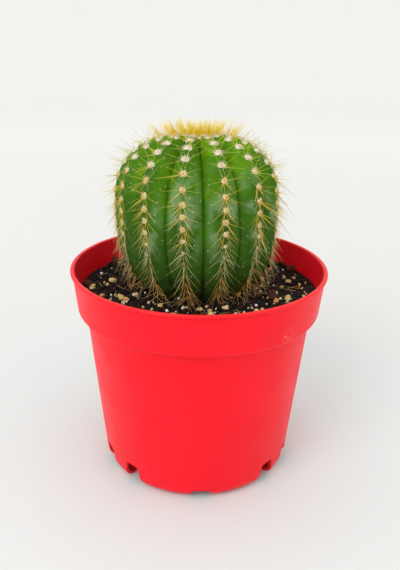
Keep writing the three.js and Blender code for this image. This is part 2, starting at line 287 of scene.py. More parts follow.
# %% [markdown]
# ## Effects that several materials share
#
# Real surfaces share a few habits: their colour drifts in patches, they carry small pale
# specks, their finest texture is a grain, and dust lies where they face up. The nodes could be
# copied into every material, but a group with named sockets is made once and placed with its
# own values. Each gives out only a mask or a height, so every material decides what to do with
# it.

# %% Shared node groups


def new_group(name, inputs, output):
    tree = bpy.data.node_groups.new(name, "ShaderNodeTree")
    for label, default in inputs:
        socket = tree.interface.new_socket(label, in_out="INPUT", socket_type="NodeSocketFloat")
        socket.default_value = default
    tree.interface.new_socket(output, in_out="OUTPUT", socket_type="NodeSocketFloat")
    return tree, tree.nodes.new("NodeGroupInput").outputs, tree.nodes.new("NodeGroupOutput").inputs


def place_on_surface(tree):
    return add(tree, "TexCoord").outputs["Object"]


def patches_group():
    """Soft patches, such as the drift of colour in skin, soil or plastic."""
    inputs = [("Scale", 200), ("Detail", 3), ("From", 0.4), ("To", 0.6)]
    tree, given, out = new_group("Patches", inputs, "Mask")
    cloud = add(tree, "TexNoise", Vector=place_on_surface(tree), Scale=given["Scale"])
    plug(tree, cloud.inputs["Detail"], given["Detail"])
    share = add(tree, "MapRange", {"interpolation_type": "SMOOTHSTEP"}, Value=cloud.outputs[0])
    plug(tree, share.inputs["From Min"], given["From"])
    plug(tree, share.inputs["From Max"], given["To"])
    plug(tree, out["Mask"], share.outputs[0])
    return tree


def specks_group():
    """Separate small dots of uneven size, such as specks on skin or perlite dust in soil."""
    inputs = [("Scale", 800), ("Size", 0.2), ("Share", 0.3)]
    tree, given, out = new_group("Specks", inputs, "Mask")
    cells = add(tree, "TexVoronoi", Vector=place_on_surface(tree), Scale=given["Scale"])
    drawn = add(tree, "SeparateColor", Color=cells.outputs["Color"])
    size = math_node(tree, "MULTIPLY", given["Size"], drawn.outputs["Green"])
    inside = math_node(tree, "LESS_THAN", cells.outputs["Distance"], size)
    chosen = math_node(tree, "LESS_THAN", drawn.outputs["Red"], given["Share"])
    plug(tree, out["Mask"], math_node(tree, "MULTIPLY", inside, chosen))
    return tree


def grain_group():
    """The finest relief, as a height for a bump."""
    inputs = [("Scale", 2500), ("Roughness", 0.6)]
    tree, given, out = new_group("Grain", inputs, "Height")
    cloud = add(tree, "TexNoise", Vector=place_on_surface(tree), Scale=given["Scale"])
    plug(tree, cloud.inputs["Detail"], 4)
    plug(tree, cloud.inputs["Roughness"], given["Roughness"])
    plug(tree, out["Height"], cloud.outputs[0])
    return tree


def dust_group():
    """Dust that has settled on what faces up, thicker in some patches."""
    inputs = [("Scale", 150), ("Amount", 0.3)]
    tree, given, out = new_group("Settled dust", inputs, "Mask")
    normal = add(tree, "SeparateXYZ", Vector=add(tree, "NewGeometry").outputs["Normal"])
    facing = rise(tree, normal.outputs["Z"], 0.1, 0.9)
    cloud = add(tree, "TexNoise", Vector=place_on_surface(tree), Scale=given["Scale"])
    plug(tree, cloud.inputs["Detail"], 5)
    thick = math_node(tree, "MULTIPLY", cloud.outputs[0], given["Amount"])
    plug(tree, out["Mask"], math_node(tree, "MULTIPLY", thick, facing))
    return tree


PATCHES = patches_group()
SPECKS = specks_group()
GRAIN = grain_group()
DUST = dust_group()


def use(tree, group, **values):
    """Places a shared group in a material and gives back its one output."""
    made = tree.nodes.new("ShaderNodeGroup")
    made.node_tree = group
    for key, value in values.items():
        plug(tree, made.inputs[key], value)
    return made.outputs[0]


def bump(tree, shader, height, distance, strength):
    """Relief of a given depth in millimetres."""
    made = add(tree, "Bump", Height=height, Distance=distance * MM, Strength=strength)
    plug(tree, shader.inputs["Normal"], made.outputs[0])


print("shared groups:", [group.name for group in (PATCHES, SPECKS, GRAIN, DUST)])

# %% [markdown]
# ## The pot
#
# The pot is one piece of thin plastic: a wall that widens upwards, a wider collar above a
# step, a small lip, a raised floor, and a foot ring cut by notches so that water can run out.
# Such a shape is a turned one, so its section is walked round the axis. Modifiers could turn
# and thicken a plain line too, but a section drawn inside and out gives each edge its own
# rounding. The rounded edges are arcs with enough steps to catch a clean highlight.

# %% Pot sizes
POT_HEIGHT = 100
RIM_RADIUS = 60
POT_WALL = 1.4
FOOT_RADIUS = 46.3  # where the sloping wall would meet the table
WALL_SLOPE = 0.0926
FOOT_CORNER = 6.5
FOOT_RING = 1  # width of the flat ring that the pot stands on
FLOOR = 12.1
COLLAR_BOTTOM = 80
COLLAR_RADIUS = 57.4
COLLAR_SLOPE = 0.1
COLLAR_ROUNDING = 1.8
LIP_HEIGHT = 1.7
LIP_ROUNDING = 0.8

FLOOR_TOP = FLOOR + POT_WALL
STEP_TOP = COLLAR_BOTTOM + POT_WALL


def wall_radius(z):
    return FOOT_RADIUS + WALL_SLOPE * z


def collar_radius(z):
    return COLLAR_RADIUS + COLLAR_SLOPE * (z - COLLAR_BOTTOM - COLLAR_ROUNDING)


print(f"the collar hangs over the wall by {COLLAR_RADIUS - wall_radius(COLLAR_BOTTOM):.1f} mm")

# %% Pot section


def arc(x, y, radius, start, end, steps):
    angles = np.radians(np.linspace(start, end, steps + 1))
    return [(x + radius * math.cos(a), y + radius * math.sin(a)) for a in angles]


def straight(first, last, steps):
    """Points between two ends, without the ends, so that long walls have even faces."""
    shares = np.linspace(0, 1, steps + 1)[1:-1]
    return [tuple(np.array(first) * (1 - s) + np.array(last) * s) for s in shares]


def pot_section():
    corner = wall_radius(FOOT_CORNER) - FOOT_CORNER
    collar = COLLAR_RADIUS - COLLAR_ROUNDING
    lip_bottom = POT_HEIGHT - LIP_HEIGHT
    wall_foot = (wall_radius(FOOT_CORNER), FOOT_CORNER)
    wall_head = (wall_radius(COLLAR_BOTTOM) - 0.02, COLLAR_BOTTOM)
    outside = [(corner - FOOT_RING, 0)]
    outside += arc(corner, FOOT_CORNER, FOOT_CORNER, -90, 0, 8)
    outside += straight(wall_foot, wall_head, 12) + [wall_head]
    outside += arc(collar, COLLAR_BOTTOM + COLLAR_ROUNDING, COLLAR_ROUNDING, -90, 0, 8)
    outside += [(collar_radius(lip_bottom) - 0.05, lip_bottom - 0.5)]
    outside += arc(
        RIM_RADIUS - LIP_ROUNDING, POT_HEIGHT - LIP_ROUNDING, LIP_ROUNDING, -60, 90, 8
    )
    inner_lip = collar_radius(lip_bottom) - POT_WALL
    inside = arc(inner_lip + 0.9, POT_HEIGHT - 0.6, 0.6, 90, 180, 4)
    step = COLLAR_BOTTOM + COLLAR_ROUNDING
    collar_inside = collar_radius(step) - POT_WALL
    floor_edge = wall_radius(FLOOR_TOP) - POT_WALL
    inside += [  # corners out of sight are eased with one or two points
        (collar_inside, step + 0.8),
        (collar_inside - 0.3, step),
        (collar_inside - 1, STEP_TOP),
        (wall_radius(STEP_TOP) - POT_WALL, STEP_TOP),
        (wall_radius(FLOOR_TOP + 2) - POT_WALL, FLOOR_TOP + 2),
        (floor_edge - 0.6, FLOOR_TOP + 0.6),
        (floor_edge - 2, FLOOR_TOP),
        (0, FLOOR_TOP),
        (0, FLOOR),
        (wall_radius(FLOOR) - POT_WALL, FLOOR),
    ]
    inside += arc(corner, FOOT_CORNER, FOOT_CORNER - POT_WALL, 0, -90, 6)
    inside += [(corner - FOOT_RING, POT_WALL)]
    return outside + inside


print("points of the pot's section:", len(pot_section()))

# %% Turning a section round the axis
POT_COLUMNS = 224


def turned(section, columns, closed=True):
    """Points and faces of a section walked round the axis. Points at radius 0 are one."""
    points, rows = [], []
    angles = np.linspace(0, 2 * np.pi, columns, endpoint=False)
    for r, z in section:
        if r == 0:
            rows.append([len(points)] * columns)
            points.append((0, 0, z))
            continue
        rows.append(list(range(len(points), len(points) + columns)))
        points += [(r * math.sin(a), -r * math.cos(a), z) for a in angles]
    faces = []
    for row, following in zip(rows, rows[1:] + rows[:1] if closed else rows[1:]):
        for c in range(columns):
            d = (c + 1) % columns
            corners = [row[c], row[d], following[d], following[c]]
            corners = [p for i, p in enumerate(corners) if p != corners[i - 1]]
            if len(corners) > 2:
                faces.append(corners)
    return points, faces


print("faces of the turned pot:", len(turned(pot_section(), POT_COLUMNS)[1]))

# %% [markdown]
# ### Notches and drain holes
#
# Water leaves through round holes in the floor and runs out under the foot through notches.
# Leaving out faces of the wall would give ragged openings without a thickness, so plugs of the
# right outline are made and cut out of the shell, all at once.

# %% Cutters
POT_TURN = 3.4  # degrees by which the first small notch stands to the side of the front
SMALL_NOTCH = {"height": 5.2, "foot": 13.6, "top": 11.4}  # widths in degrees round the pot
LARGE_NOTCH = {"height": 11.2, "foot": 13.2, "top": 9.6}
SMALL_NOTCHES = (0, 180)
LARGE_NOTCHES = (43, 66.5, 113.5, 137, -43, -66.5, -113.5, -137)
NOTCH_ROUNDING = 1.5
NOTCH_OUT, NOTCH_IN = 6, 10  # how far the cuts reach out of the foot and into it
DRAIN_COUNT = 6
DRAIN_RADIUS = 3.5
DRAIN_RING = 28


def prism_faces(count):
    sides = [(i, i + count, (i + 1) % count + count, (i + 1) % count) for i in range(count)]
    return [tuple(range(count)), tuple(reversed(range(count, 2 * count))), *sides]


def notch_cutter(notch, angle):
    """A plug with round upper corners, pushed out through the foot."""
    reach = wall_radius(0)
    foot = reach * math.sin(math.radians(notch["foot"] / 2))
    top = reach * math.sin(math.radians(notch["top"] / 2))
    shape = [(-foot, -1), (foot, -1)]
    for side, start in ((1, 5), (-1, 90)):
        middle = side * (top - NOTCH_ROUNDING)
        shape += arc(middle, notch["height"] - NOTCH_ROUNDING, NOTCH_ROUNDING, start, start + 85, 5)
    turn = Matrix.Rotation(math.radians(POT_TURN + angle), 3, "Z")
    near, far = -reach - NOTCH_OUT, -reach + NOTCH_IN
    points = [turn @ Vector((x, y, z)) for y in (near, far) for x, z in shape]
    return points, prism_faces(len(shape))


def drain_cutter(number):
    angle = 2 * math.pi * number / DRAIN_COUNT
    middle = (DRAIN_RING * math.cos(angle), DRAIN_RING * math.sin(angle))
    # 24 points, turned a little so that none lies on an edge of the floor
    ring = arc(*middle, DRAIN_RADIUS, 4, 349, 23)
    points = [(x, y, z) for z in (FLOOR_TOP + 2, FLOOR - 2) for x, y in ring]
    return points, prism_faces(len(ring))


def pot_cutters():
    cutters = [notch_cutter(SMALL_NOTCH, angle) for angle in SMALL_NOTCHES]
    cutters += [notch_cutter(LARGE_NOTCH, angle) for angle in LARGE_NOTCHES]
    return cutters + [drain_cutter(number) for number in range(DRAIN_COUNT)]


print("notches and drain holes:", len(pot_cutters()))

# %% [markdown]
# ### Red plastic
#
# Moulded polypropylene is a strong, slightly see-through red with a satin skin. Looked at
# closely it isn't flat: the colour drifts a little, the skin has a fine grain, handling has
# left a pale scuff on the collar, and dust lies on the lip. One even red would do from far
# away. The scuff is a round patch about one place on the collar, broken up by fine patches.

# %% Pot material
POT_RED = linear(252, 10, 34)
POT_DEEP_RED = linear(247, 7, 30)
SCUFF_PALE = linear(255, 196, 190)
SCUFF_ANGLE = 41  # degrees round the pot from the front
SCUFF_HEIGHT = 84
SCUFF_RADIUS = 5  # where it has faded out
SCUFF_CORE = 1  # up to where it is at its strongest
SCUFF_STRENGTH = 0.3
DUST_BROWN = linear(146, 118, 96)


def scuff_mask(tree):
    """A mark on the collar that fades away from its middle and is broken up by patches."""
    angle = math.radians(SCUFF_ANGLE)
    mark = Vector((math.sin(angle), -math.cos(angle), 0)) * COLLAR_RADIUS
    away = add(tree, "VectorMath", {"operation": "DISTANCE"})
    plug(tree, away.inputs[0], place_on_surface(tree))
    plug(tree, away.inputs[1], (mark + Vector((0, 0, SCUFF_HEIGHT))) * MM)
    radius, core = SCUFF_RADIUS * MM, SCUFF_CORE * MM
    close = rise(tree, away.outputs["Value"], radius, core, To_Max=SCUFF_STRENGTH)
    rubbed = use(tree, PATCHES, Scale=900, Detail=4, From=0.5, To=0.6)
    return math_node(tree, "MULTIPLY", close, rubbed)


def pot_material():
    made, tree, shader = material("red_pot_plastic")
    drift = use(tree, PATCHES, Scale=28, Detail=2, From=0.3, To=0.7)
    colour = blend(tree, drift, POT_RED, POT_DEEP_RED)
    scuff = scuff_mask(tree)
    colour = blend(tree, scuff, colour, SCUFF_PALE)
    dust = use(tree, DUST, Scale=260, Amount=0.22)
    plug(tree, shader.inputs["Base Color"], blend(tree, dust, colour, DUST_BROWN))
    worn = use(tree, PATCHES, Scale=70, Detail=5, From=0.35, To=0.75)
    rough = rise(tree, worn, 0, 1, To_Min=0.38, To_Max=0.5)
    plug(tree, shader.inputs["Roughness"], math_node(tree, "ADD", rough, scuff))
    set_evenly(shader, Specular_IOR_Level=0.22, Subsurface_Weight=0.12)
    set_evenly(shader, Subsurface_Radius=(1, 0.1, 0.08), Subsurface_Scale=2 * MM)
    bump(tree, shader, use(tree, GRAIN, Scale=1400, Roughness=0.5), 0.05, 0.5)
    return made


RED_PLASTIC = pot_material()
print("nodes in the red plastic:", len(RED_PLASTIC.node_tree.nodes))

# %% Pot shell
SHARP_ANGLE = 32  # degrees over which an edge stays crisp


def cut_piece(piece, cutter_points, cutter_faces):
    """Cuts a closed mesh out of a piece, and keeps the result as its mesh."""
    cutter = mesh_object("cutter", cutter_points, cutter_faces)
    modifier = piece.modifiers.new("cut", "BOOLEAN")
    modifier.object = cutter
    modifier.solver = "EXACT"
    ready = piece.evaluated_get(bpy.context.evaluated_depsgraph_get())
    cut = bpy.data.meshes.new_from_object(ready)
    piece.modifiers.clear()
    piece.data = cut
    bpy.data.objects.remove(cutter)
    cut.set_sharp_from_angle(angle=math.radians(SHARP_ANGLE))


turned_pot = turned(pot_section(), POT_COLUMNS)
pot = mesh_piece("pot_shell", *turned_pot, RED_PLASTIC, "pot_plastic", ["pot"])
cut_piece(pot, *joined(pot_cutters()))
print("pot faces after the cuts:", len(pot.data.polygons))

# %% [markdown]
# ## The line of a rib
#
# A round cactus is built on one line: the crest of a rib, from the middle of the crown over
# the shoulder and down to the soil. Two flattened quarter curves meet at the widest level,
# with a small dimple at the crown. Everything that grows on the plant is placed by the way
# down this line, so the line is measured once and then looked up. A sculpted or subdivided
# ball would give a round body too, but no such measure.
#
# The plant doesn't stand upright: it leans back and a little to the left. Heights on it are
# measured along its own axis, and one turn, its stance, brings every point to its real place.

# %% Crest line
PLANT_X, PLANT_Y, SEAT = -0.6, 0.6, 88  # where the plant's axis passes through the soil
LEAN_BACK = 6.5  # degrees
LEAN_LEFT = 1.2
PLANT_RADIUS = 37.5
WIDEST = 128
RISE = 31.2
DROP = 45
ROUND_TOP = 2.5  # 2 would be an ellipse, and more is squarer
ROUND_BASE = 2.7
DIMPLE = 2.2
DIMPLE_RADIUS = 7
CREST_POINTS = 901
CREST_SWEEP = 0.89  # the share of a half turn that the line covers

turns = (0.5 - np.linspace(0, 1, CREST_POINTS) * CREST_SWEEP) * np.pi
above = turns > 0
power = 2 / np.where(above, ROUND_TOP, ROUND_BASE)
line_r = PLANT_RADIUS * np.abs(np.cos(turns)) ** power
line_z = WIDEST + np.where(above, RISE, -DROP) * np.abs(np.sin(turns)) ** power
line_z -= np.where(above, DIMPLE * np.exp(-((line_r / DIMPLE_RADIUS) ** 2)), 0)
line_way = np.concatenate([[0], np.cumsum(np.hypot(np.diff(line_r), np.diff(line_z)))])
slope_r = np.gradient(line_r, line_way)
slope_z = np.gradient(line_z, line_way)

lean_left = Matrix.Rotation(math.radians(-LEAN_LEFT), 3, "Y")
lean_back = Matrix.Rotation(math.radians(-LEAN_BACK), 3, "X")
STANCE = np.array(lean_left @ lean_back)
SEAT_PLACE = np.array([PLANT_X, PLANT_Y, SEAT])
PLANT_UP = STANCE @ [0, 0, 1]
UP = np.array([0, 0, 1.0])


def crest_at(way):
    """Radius and height on the crest, and its direction down the rib, at a way from the crown."""
    r, z = np.interp(way, line_way, line_r), np.interp(way, line_way, line_z)
    down_r, down_z = np.interp(way, line_way, slope_r), np.interp(way, line_way, slope_z)
    length = np.hypot(down_r, down_z)
    return r, z, down_r / length, down_z / length


def around(r, z, angle):
    """Real places of points at a distance from the plant's axis and a height along it."""
    upright = np.stack([r * np.sin(angle), -r * np.cos(angle), z - SEAT + 0 * angle], axis=-1)
    return SEAT_PLACE + upright @ STANCE.T


def plant_height(points):
    return ((points - SEAT_PLACE) @ STANCE)[..., 2] + SEAT


print(f"crest line {line_way[-1]:.1f} mm, ending at height {line_z[-1]:.1f}")

# %% [markdown]
# ## Where the areoles stand
#
# Spines grow only from areoles, the woolly pads along each crest. The young ones on the
# shoulder stand 6.7 mm apart and the old ones 5 mm, so each step along the crest counts as a
# share of an areole, and the sum of these shares is an areole's number. The plant has 14 ribs,
# an even number, and the areoles of every second rib stand halfway between those beside them.
# A plain array of copies would look stamped, so the ribs also stray by a degree or two.

# %% Areole places
RIBS = 14
FIRST_RIB = -8  # degrees from straight ahead
UNEVEN = 1.8  # degrees by which the ribs stray
YOUNG_SPACING = 6.7
OLD_SPACING = 5
SHOULDER_END = 45  # ways down the crest between which the spacing changes
FLANK_START = 55
CROWN_COUNT = 0.9  # areoles between the middle of the crown and number 0
ROWS = 17

line_spacing = mix(YOUNG_SPACING, OLD_SPACING, smooth(SHOULDER_END, FLANK_START, line_way))
middle_spacing = (line_spacing[1:] + line_spacing[:-1]) / 2
line_number = np.concatenate([[0], np.cumsum(np.diff(line_way) / middle_spacing)]) - CROWN_COUNT


def areole_way(number):
    return np.interp(number, line_number, line_way)


def areole_number(way):
    return np.interp(way, line_way, line_number)


def rib_step(rib):
    return rib % 2 / 2


def rib_angle(rib):
    stray = np.sin(4 * np.pi * (rib - 0.4) / RIBS)
    return np.radians(FIRST_RIB + 360 / RIBS * rib + UNEVEN * stray)


def row_way(number, step):
    """The skin's rows follow the areoles, and close in evenly towards the crown."""
    crown = number * areole_way(1 + step)
    return np.where(number < 1, crown, areole_way(np.maximum(number, 1) + step))


print("areole ways on the first rib:", areole_way(np.arange(6)).round(1))

# %% [markdown]
# ## The skin of the plant
#
# Between two crests the skin falls into a groove, deep and open on the young shoulder, shallow
# and almost closed by the swollen flanks lower down. One formula gives that depth at every
# point, so the whole skin is a single grid: rows along the ribs, columns across them, closer
# together near the groove, where the two flanks meet in a narrow crease. The crest swells a
# little between the areoles, which sit in small notches.

# %% Skin grid
RIB_COLUMNS = 26
ROWS_EACH = 11  # skin rows for each areole
GROOVE_OLD, GROOVE_YOUNG = 2.4, 6  # depths low down and on the shoulder
SWELL_OLD, SWELL_YOUNG = 0.35, 0.8  # how far the crest bulges between two areoles
FLANK_OLD, FLANK_YOUNG = 2.3, 1.5  # how sharply the flanks fall away from the crest
GROOVE_HEIGHTS = (112, 148)  # heights on the plant between which each of them changes
SWELL_HEIGHTS = (140, 158)
FLANK_HEIGHTS = (100, 150)
CREASE = 0.7  # extra depth where two flanks meet
CROWDING = 1.4  # how much closer the columns stand near the groove


def groove_depth(r, z):
    return mix(GROOVE_OLD, GROOVE_YOUNG, smooth(*GROOVE_HEIGHTS, z)) * smooth(8, 20, r)


def swell(r, z):
    """How far the crest bulges, which fades out towards the crown's middle and the soil."""
    bulge = mix(SWELL_OLD, SWELL_YOUNG, smooth(*SWELL_HEIGHTS, z))
    return bulge * smooth(9, 17, r) * smooth(88, 104, z)


def skin_points(rib, share, number):
    """Points of the skin, with the share across the rib from -1 through the crest at 0 to 1."""
    across = np.abs(share)
    step = rib_step(rib) * (1 - across)
    way = row_way(number, step)
    r, z, down_r, down_z = crest_at(way)
    flank = mix(FLANK_OLD, FLANK_YOUNG, smooth(*FLANK_HEIGHTS, z))
    between = 0.5 - 0.5 * np.cos(2 * np.pi * (areole_number(way) - step))
    push = swell(r, z) * between * (1 - across) - groove_depth(r, z) * across**flank
    push = push - CREASE * smooth(0.9, 1, across) * smooth(9, 16, r)
    return around(r - down_z * push, z + down_r * push, rib_angle(rib + share / 2))


def skin_grid():
    even = np.linspace(-1, 1, RIB_COLUMNS, endpoint=False)
    shares = np.sign(even) * (1 - (1 - np.abs(even)) ** CROWDING)
    rib = np.repeat(np.arange(RIBS), RIB_COLUMNS)
    share = np.tile(shares, RIBS)
    numbers = np.arange(ROWS * ROWS_EACH, 0, -1) / ROWS_EACH
    rows = [skin_points(rib, share, np.full(len(rib), number)) for number in numbers]
    return rib, share, rows


def closed_rings(rings, bottom, top):
    """Points and faces of rings of points from the bottom up, with a pole at each end."""
    columns = len(rings[0])
    points = np.concatenate([[bottom], *rings, [top]])
    last = 1 + (len(rings) - 1) * columns
    faces = [face[::-1] for face in fan(columns, 1, 0)]
    return points, faces + ring_faces(columns, len(rings), 1) + fan(columns, last, len(points) - 1)


print("points across and down the skin:", RIBS * RIB_COLUMNS, ROWS * ROWS_EACH)

# %% [markdown]
# ### Green skin
#
# The skin is not one green. New growth at the crown and deep in the grooves is a bright yellow
# green, the flanks are a darker, cooler green with clouds of thin whitish wax, and the oldest
# skin near the soil is a dark olive. A fine dull mottling and pale specks cover all of it, and
# the crease of each groove gets a thin line of painted shade. Painting all that by hand would be
# slow and would fit this one plant only, so height and the share across the rib are stored on
# the points, and the colours follow them.

# %% Skin material
NEW_GREEN = linear(104, 152, 0)
BRIGHT_GREEN = linear(66, 118, 2)
MIDDLE_GREEN = linear(44, 84, 18)
OLD_GREEN = linear(50, 84, 22)
BASE_GREEN = linear(46, 62, 14)
# painted shade: the dark colour of the crease where two flanks meet
CREASE_PAINTED_SHADE = linear(14, 34, 4)
DULL_GREEN = linear(74, 104, 48)
WAX = linear(128, 158, 114)
SPECK_PALE = linear(206, 224, 186)
SKIN_FOOT, SKIN_TOP = 86, 159  # heights on the plant between which the skin changes
WAX_GAIN, WAX_LOSS = (104, 120), (138, 150)  # heights between which the wax comes and goes
WAX_THICKNESS = 0.62


def skin_material():
    made, tree, shader = material("green_skin")
    height, valley = stored(tree, "height"), stored(tree, "valley")
    drift = use(tree, PATCHES, Scale=80, Detail=9, From=0.35, To=0.65)
    drift = math_node(tree, "MULTIPLY_ADD", drift, 0.24, -0.14)
    grown = math_node(tree, "ADD", height, drift)
    flank = ramp(tree, grown, [
        (0.0, BASE_GREEN), (0.12, OLD_GREEN), (0.45, MIDDLE_GREEN), (0.84, BRIGHT_GREEN),
        (1.0, NEW_GREEN),
    ])
    deep = ramp(tree, grown, [
        (0.0, BASE_GREEN), (0.15, OLD_GREEN), (0.6, BRIGHT_GREEN), (0.92, NEW_GREEN),
    ])
    colour = blend(tree, math_node(tree, "POWER", valley, 1.6), flank, deep)
    mottle = use(tree, PATCHES, Scale=360, Detail=6, From=0.42, To=0.62)
    colour = lay_over(tree, colour, mottle, 0.3, DULL_GREEN)
    clouds = use(tree, PATCHES, Scale=84, Detail=6, From=0.46, To=0.64)
    waxed = math_node(tree, "MULTIPLY", clouds, stored(tree, "wax"))
    colour = blend(tree, waxed, colour, WAX)
    specks = use(tree, SPECKS, Scale=900, Size=0.34, Share=0.22)
    colour = lay_over(tree, colour, specks, 0.45, SPECK_PALE)
    # painted shade: a thin dark line in the crease of each groove, where the flanks shade each
    # other
    colour = lay_over(tree, colour, rise(tree, valley, 0.965, 1.0), 0.45, CREASE_PAINTED_SHADE)
    plug(tree, shader.inputs["Base Color"], colour)
    plug(tree, shader.inputs["Roughness"], math_node(tree, "MULTIPLY_ADD", waxed, 0.25, 0.55))
    set_evenly(shader, Specular_IOR_Level=0.07, Subsurface_Weight=0.1)
    set_evenly(shader, Subsurface_Radius=(0.5, 1, 0.2), Subsurface_Scale=2 * MM)
    bump(tree, shader, use(tree, GRAIN, Scale=900, Roughness=0.65), 0.12, 0.6)
    return made


GREEN_SKIN = skin_material()
print("nodes in the green skin:", len(GREEN_SKIN.node_tree.nodes))

# %% [markdown]
# ### The plant's body
#
# The real plant is one swollen stem that narrows into a root. The skin's rows could end at the
# soil, but a closed body has no open edge to show between the crumbs, so rings for the buried
# root follow the last row.

# %% Plant body
ROOT = ((9.6, 62), (13.6, 70), (16.6, 78))  # radius and height of the buried root, from its tip


def plant_body():
    rib, share, rows = skin_grid()
    columns = len(rib)
    angles = rib_angle(rib + share / 2)
    rings = [around(np.full(columns, r), z, angles) for r, z in ROOT] + rows
    tip = around(0.0, ROOT[0][1] - 3, np.array(0.0))
    crown = around(0.0, line_z[0], np.array(0.0))
    points, faces = closed_rings(rings, tip, crown)
    piece = mesh_piece("cactus_flesh", points, faces, GREEN_SKIN, "plant_skin", ["cactus"])
    height = plant_height(points)
    valley = np.concatenate([[0], np.tile(np.abs(share), len(rings)), [0]])
    store(piece, "height", np.clip((height - SKIN_FOOT) / (SKIN_TOP - SKIN_FOOT), 0, 1))
    store(piece, "valley", valley)
    waxy = smooth(*WAX_GAIN, height) * (1 - smooth(*WAX_LOSS, height)) * WAX_THICKNESS
    store(piece, "wax", waxy * (1 - smooth(0.55, 0.95, valley)) * smooth(0, 0.15, valley))


plant_body()

# %% [markdown]
# ## Needles and fibres, many at once
#
# A spine, a hair of wool and a root fibre are all the same thing to a mesh: a slim tube that
# tapers to a point and bends a little. Hair curves would be quick, but a part has to keep its
# shape when it leaves Blender, so each one is a real tube. They are worked out together with
# numpy, as thousands of separate calls would be slow.

# %% Tapered tubes
FULLNESS = 0.8  # at 1 a tube narrows evenly, and below that it keeps its width for longer


def needles(roots, ways, bends, lengths, radii, sides=5, rings=5):
    """Points, faces and the share along each needle. A bend is how far the tip is drawn aside."""
    count = len(roots)
    t = np.linspace(0, 1, rings)
    middle = roots[:, None] + ways[:, None] * (lengths[:, None] * t)[..., None]
    middle = middle + bends[:, None] * (t**2)[:, None]
    helper = np.where(np.abs(ways[:, 2:]) < 0.9, [[0, 0, 1]], [[1, 0, 0]])
    side = unit(np.cross(ways, helper))
    other = np.cross(ways, side)
    turn = 2 * np.pi * np.arange(sides) / sides
    ring = side[:, None] * np.cos(turn)[:, None] + other[:, None] * np.sin(turn)[:, None]
    radius = radii[:, None] * (1 - t[:-1]) ** FULLNESS
    body = middle[:, :-1, None] + ring[:, None] * radius[..., None, None]
    points = np.concatenate([body.reshape(count, -1, 3), middle[:, -1:]], axis=1)
    along = np.append(np.repeat(t[:-1], sides), 1)
    one = capped_faces(sides, rings - 1)
    starts = range(0, count * len(along), len(along))
    faces = [tuple(start + p for p in face) for start in starts for face in one]
    return points.reshape(-1, 3), faces, np.tile(along, count)


print("faces of one needle:", len(capped_faces(5, 4)))

# %% [markdown]
# ### The areoles as small frames
#
# Wool and spines grow from an areole in its own directions: out of the skin, down the rib and
# across it. Instances on points could follow them too, but they don't leave Blender as meshes,
# so every areole is listed with its place, its directions and its age, and each spine and hair
# is worked out from them.

# %% Areole list
OLDEST = 14  # the number of the areoles at the soil
CROWN_END = 18  # way down the crest to which the areoles still belong to the crown
LOWEST_AREOLE = 92  # height over the table; those lower, next to the soil, are left out


def areole_at(way, angle):
    """Place, directions, way down the crest and age of an areole, from new at 0 to old at 1."""
    r, z, down_r, down_z = (float(v) for v in crest_at(way))
    radial = STANCE @ [math.sin(angle), -math.cos(angle), 0]
    down = radial * down_r + PLANT_UP * down_z
    out = radial * -down_z + PLANT_UP * down_r
    return {
        "place": around(r, z, np.array(angle)), "way": way,
        "out": out, "down": down, "side": np.cross(down, out), "away": radial,
        "age": float(np.clip(areole_number(way) / OLDEST, 0, 1)),
    }


def areoles():
    """Every areole of the ribs above the lowest height, rib by rib, from the crown down."""
    found = []
    for rib in range(RIBS):
        for count in range(ROWS):
            way = float(areole_way(count + rib_step(rib)))
            found.append(areole_at(way, float(rib_angle(rib))))
    return [areole for areole in found if areole["place"][2] > LOWEST_AREOLE]


ALL_AREOLES = areoles()
RIB_AREOLES = [areole for areole in ALL_AREOLES if areole["way"] > CROWN_END]
print("areoles on the ribs:", len(RIB_AREOLES))

# %% [markdown]
# ## Wool of the areoles
#
# Each areole is a small cushion of felt: wide on the shoulder, smaller and rounder on the
# flank, and a thin line on the oldest part. A bead with a bumpy finish would look hard, and
# particle hair is lost when the part leaves Blender. So a low dome gives the cushion its body,
# and short fibres that stand out of it in all directions give the ragged, star-like edge.

# %% Wool shapes
DOME_COLUMNS = 14
DOME_ROWS = 5
DOME_UNEVEN = (0.76, 1.16)  # how much its points vary
PAD_SINK = 0.45  # how deep the foot of a cushion lies in the crest
FIBRE_LEAN = 25  # degrees in the middle of a cushion
FIBRE_SPREAD = 62  # degrees more at its edge
FIBRE_LENGTH = (0.7, 1.7)
FIBRE_BEND = (0.1, 0.45)


def pad_size(age):
    """Half width across the rib, half length along it, and height of a cushion."""
    ages = (0, 0.2, 0.3, 0.38, 0.64, 0.71, 0.78, 0.86, 1)
    across = np.interp(age, ages, (1.7, 1.9, 1.75, 1.35, 1.3, 1.25, 0.9, 0.7, 0.7))
    along = np.interp(age, ages, (1.4, 1.55, 1.6, 1.55, 1.55, 1.3, 1.0, 1.4, 1.7))
    height = np.interp(age, ages, (1.3, 1.5, 1.5, 1.3, 1.1, 0.9, 0.6, 0.55, 0.55))
    return across, along, height


def dome(areole, random):
    """Points, faces and hearts of a cushion. A heart is 1 in its middle and 0 at its edge."""
    across, along, height = pad_size(areole["age"])
    points, hearts = [], []
    for row in range(DOME_ROWS):
        lift = row / DOME_ROWS * math.pi / 2
        for c in range(DOME_COLUMNS):
            turn = 2 * math.pi * (c + row / 2) / DOME_COLUMNS
            uneven = random.uniform(*DOME_UNEVEN)
            flat = math.cos(lift) * uneven
            point = areole["side"] * (across * flat * math.cos(turn))
            point = point + areole["down"] * (along * flat * math.sin(turn))
            point = point + areole["out"] * (height * math.sin(lift) * uneven - PAD_SINK)
            points.append(areole["place"] + point)
            hearts.append(1 - flat)
    points.append(areole["place"] + areole["out"] * (height * 0.85 - PAD_SINK))
    hearts.append(1)
    return points, capped_faces(DOME_COLUMNS, DOME_ROWS), hearts


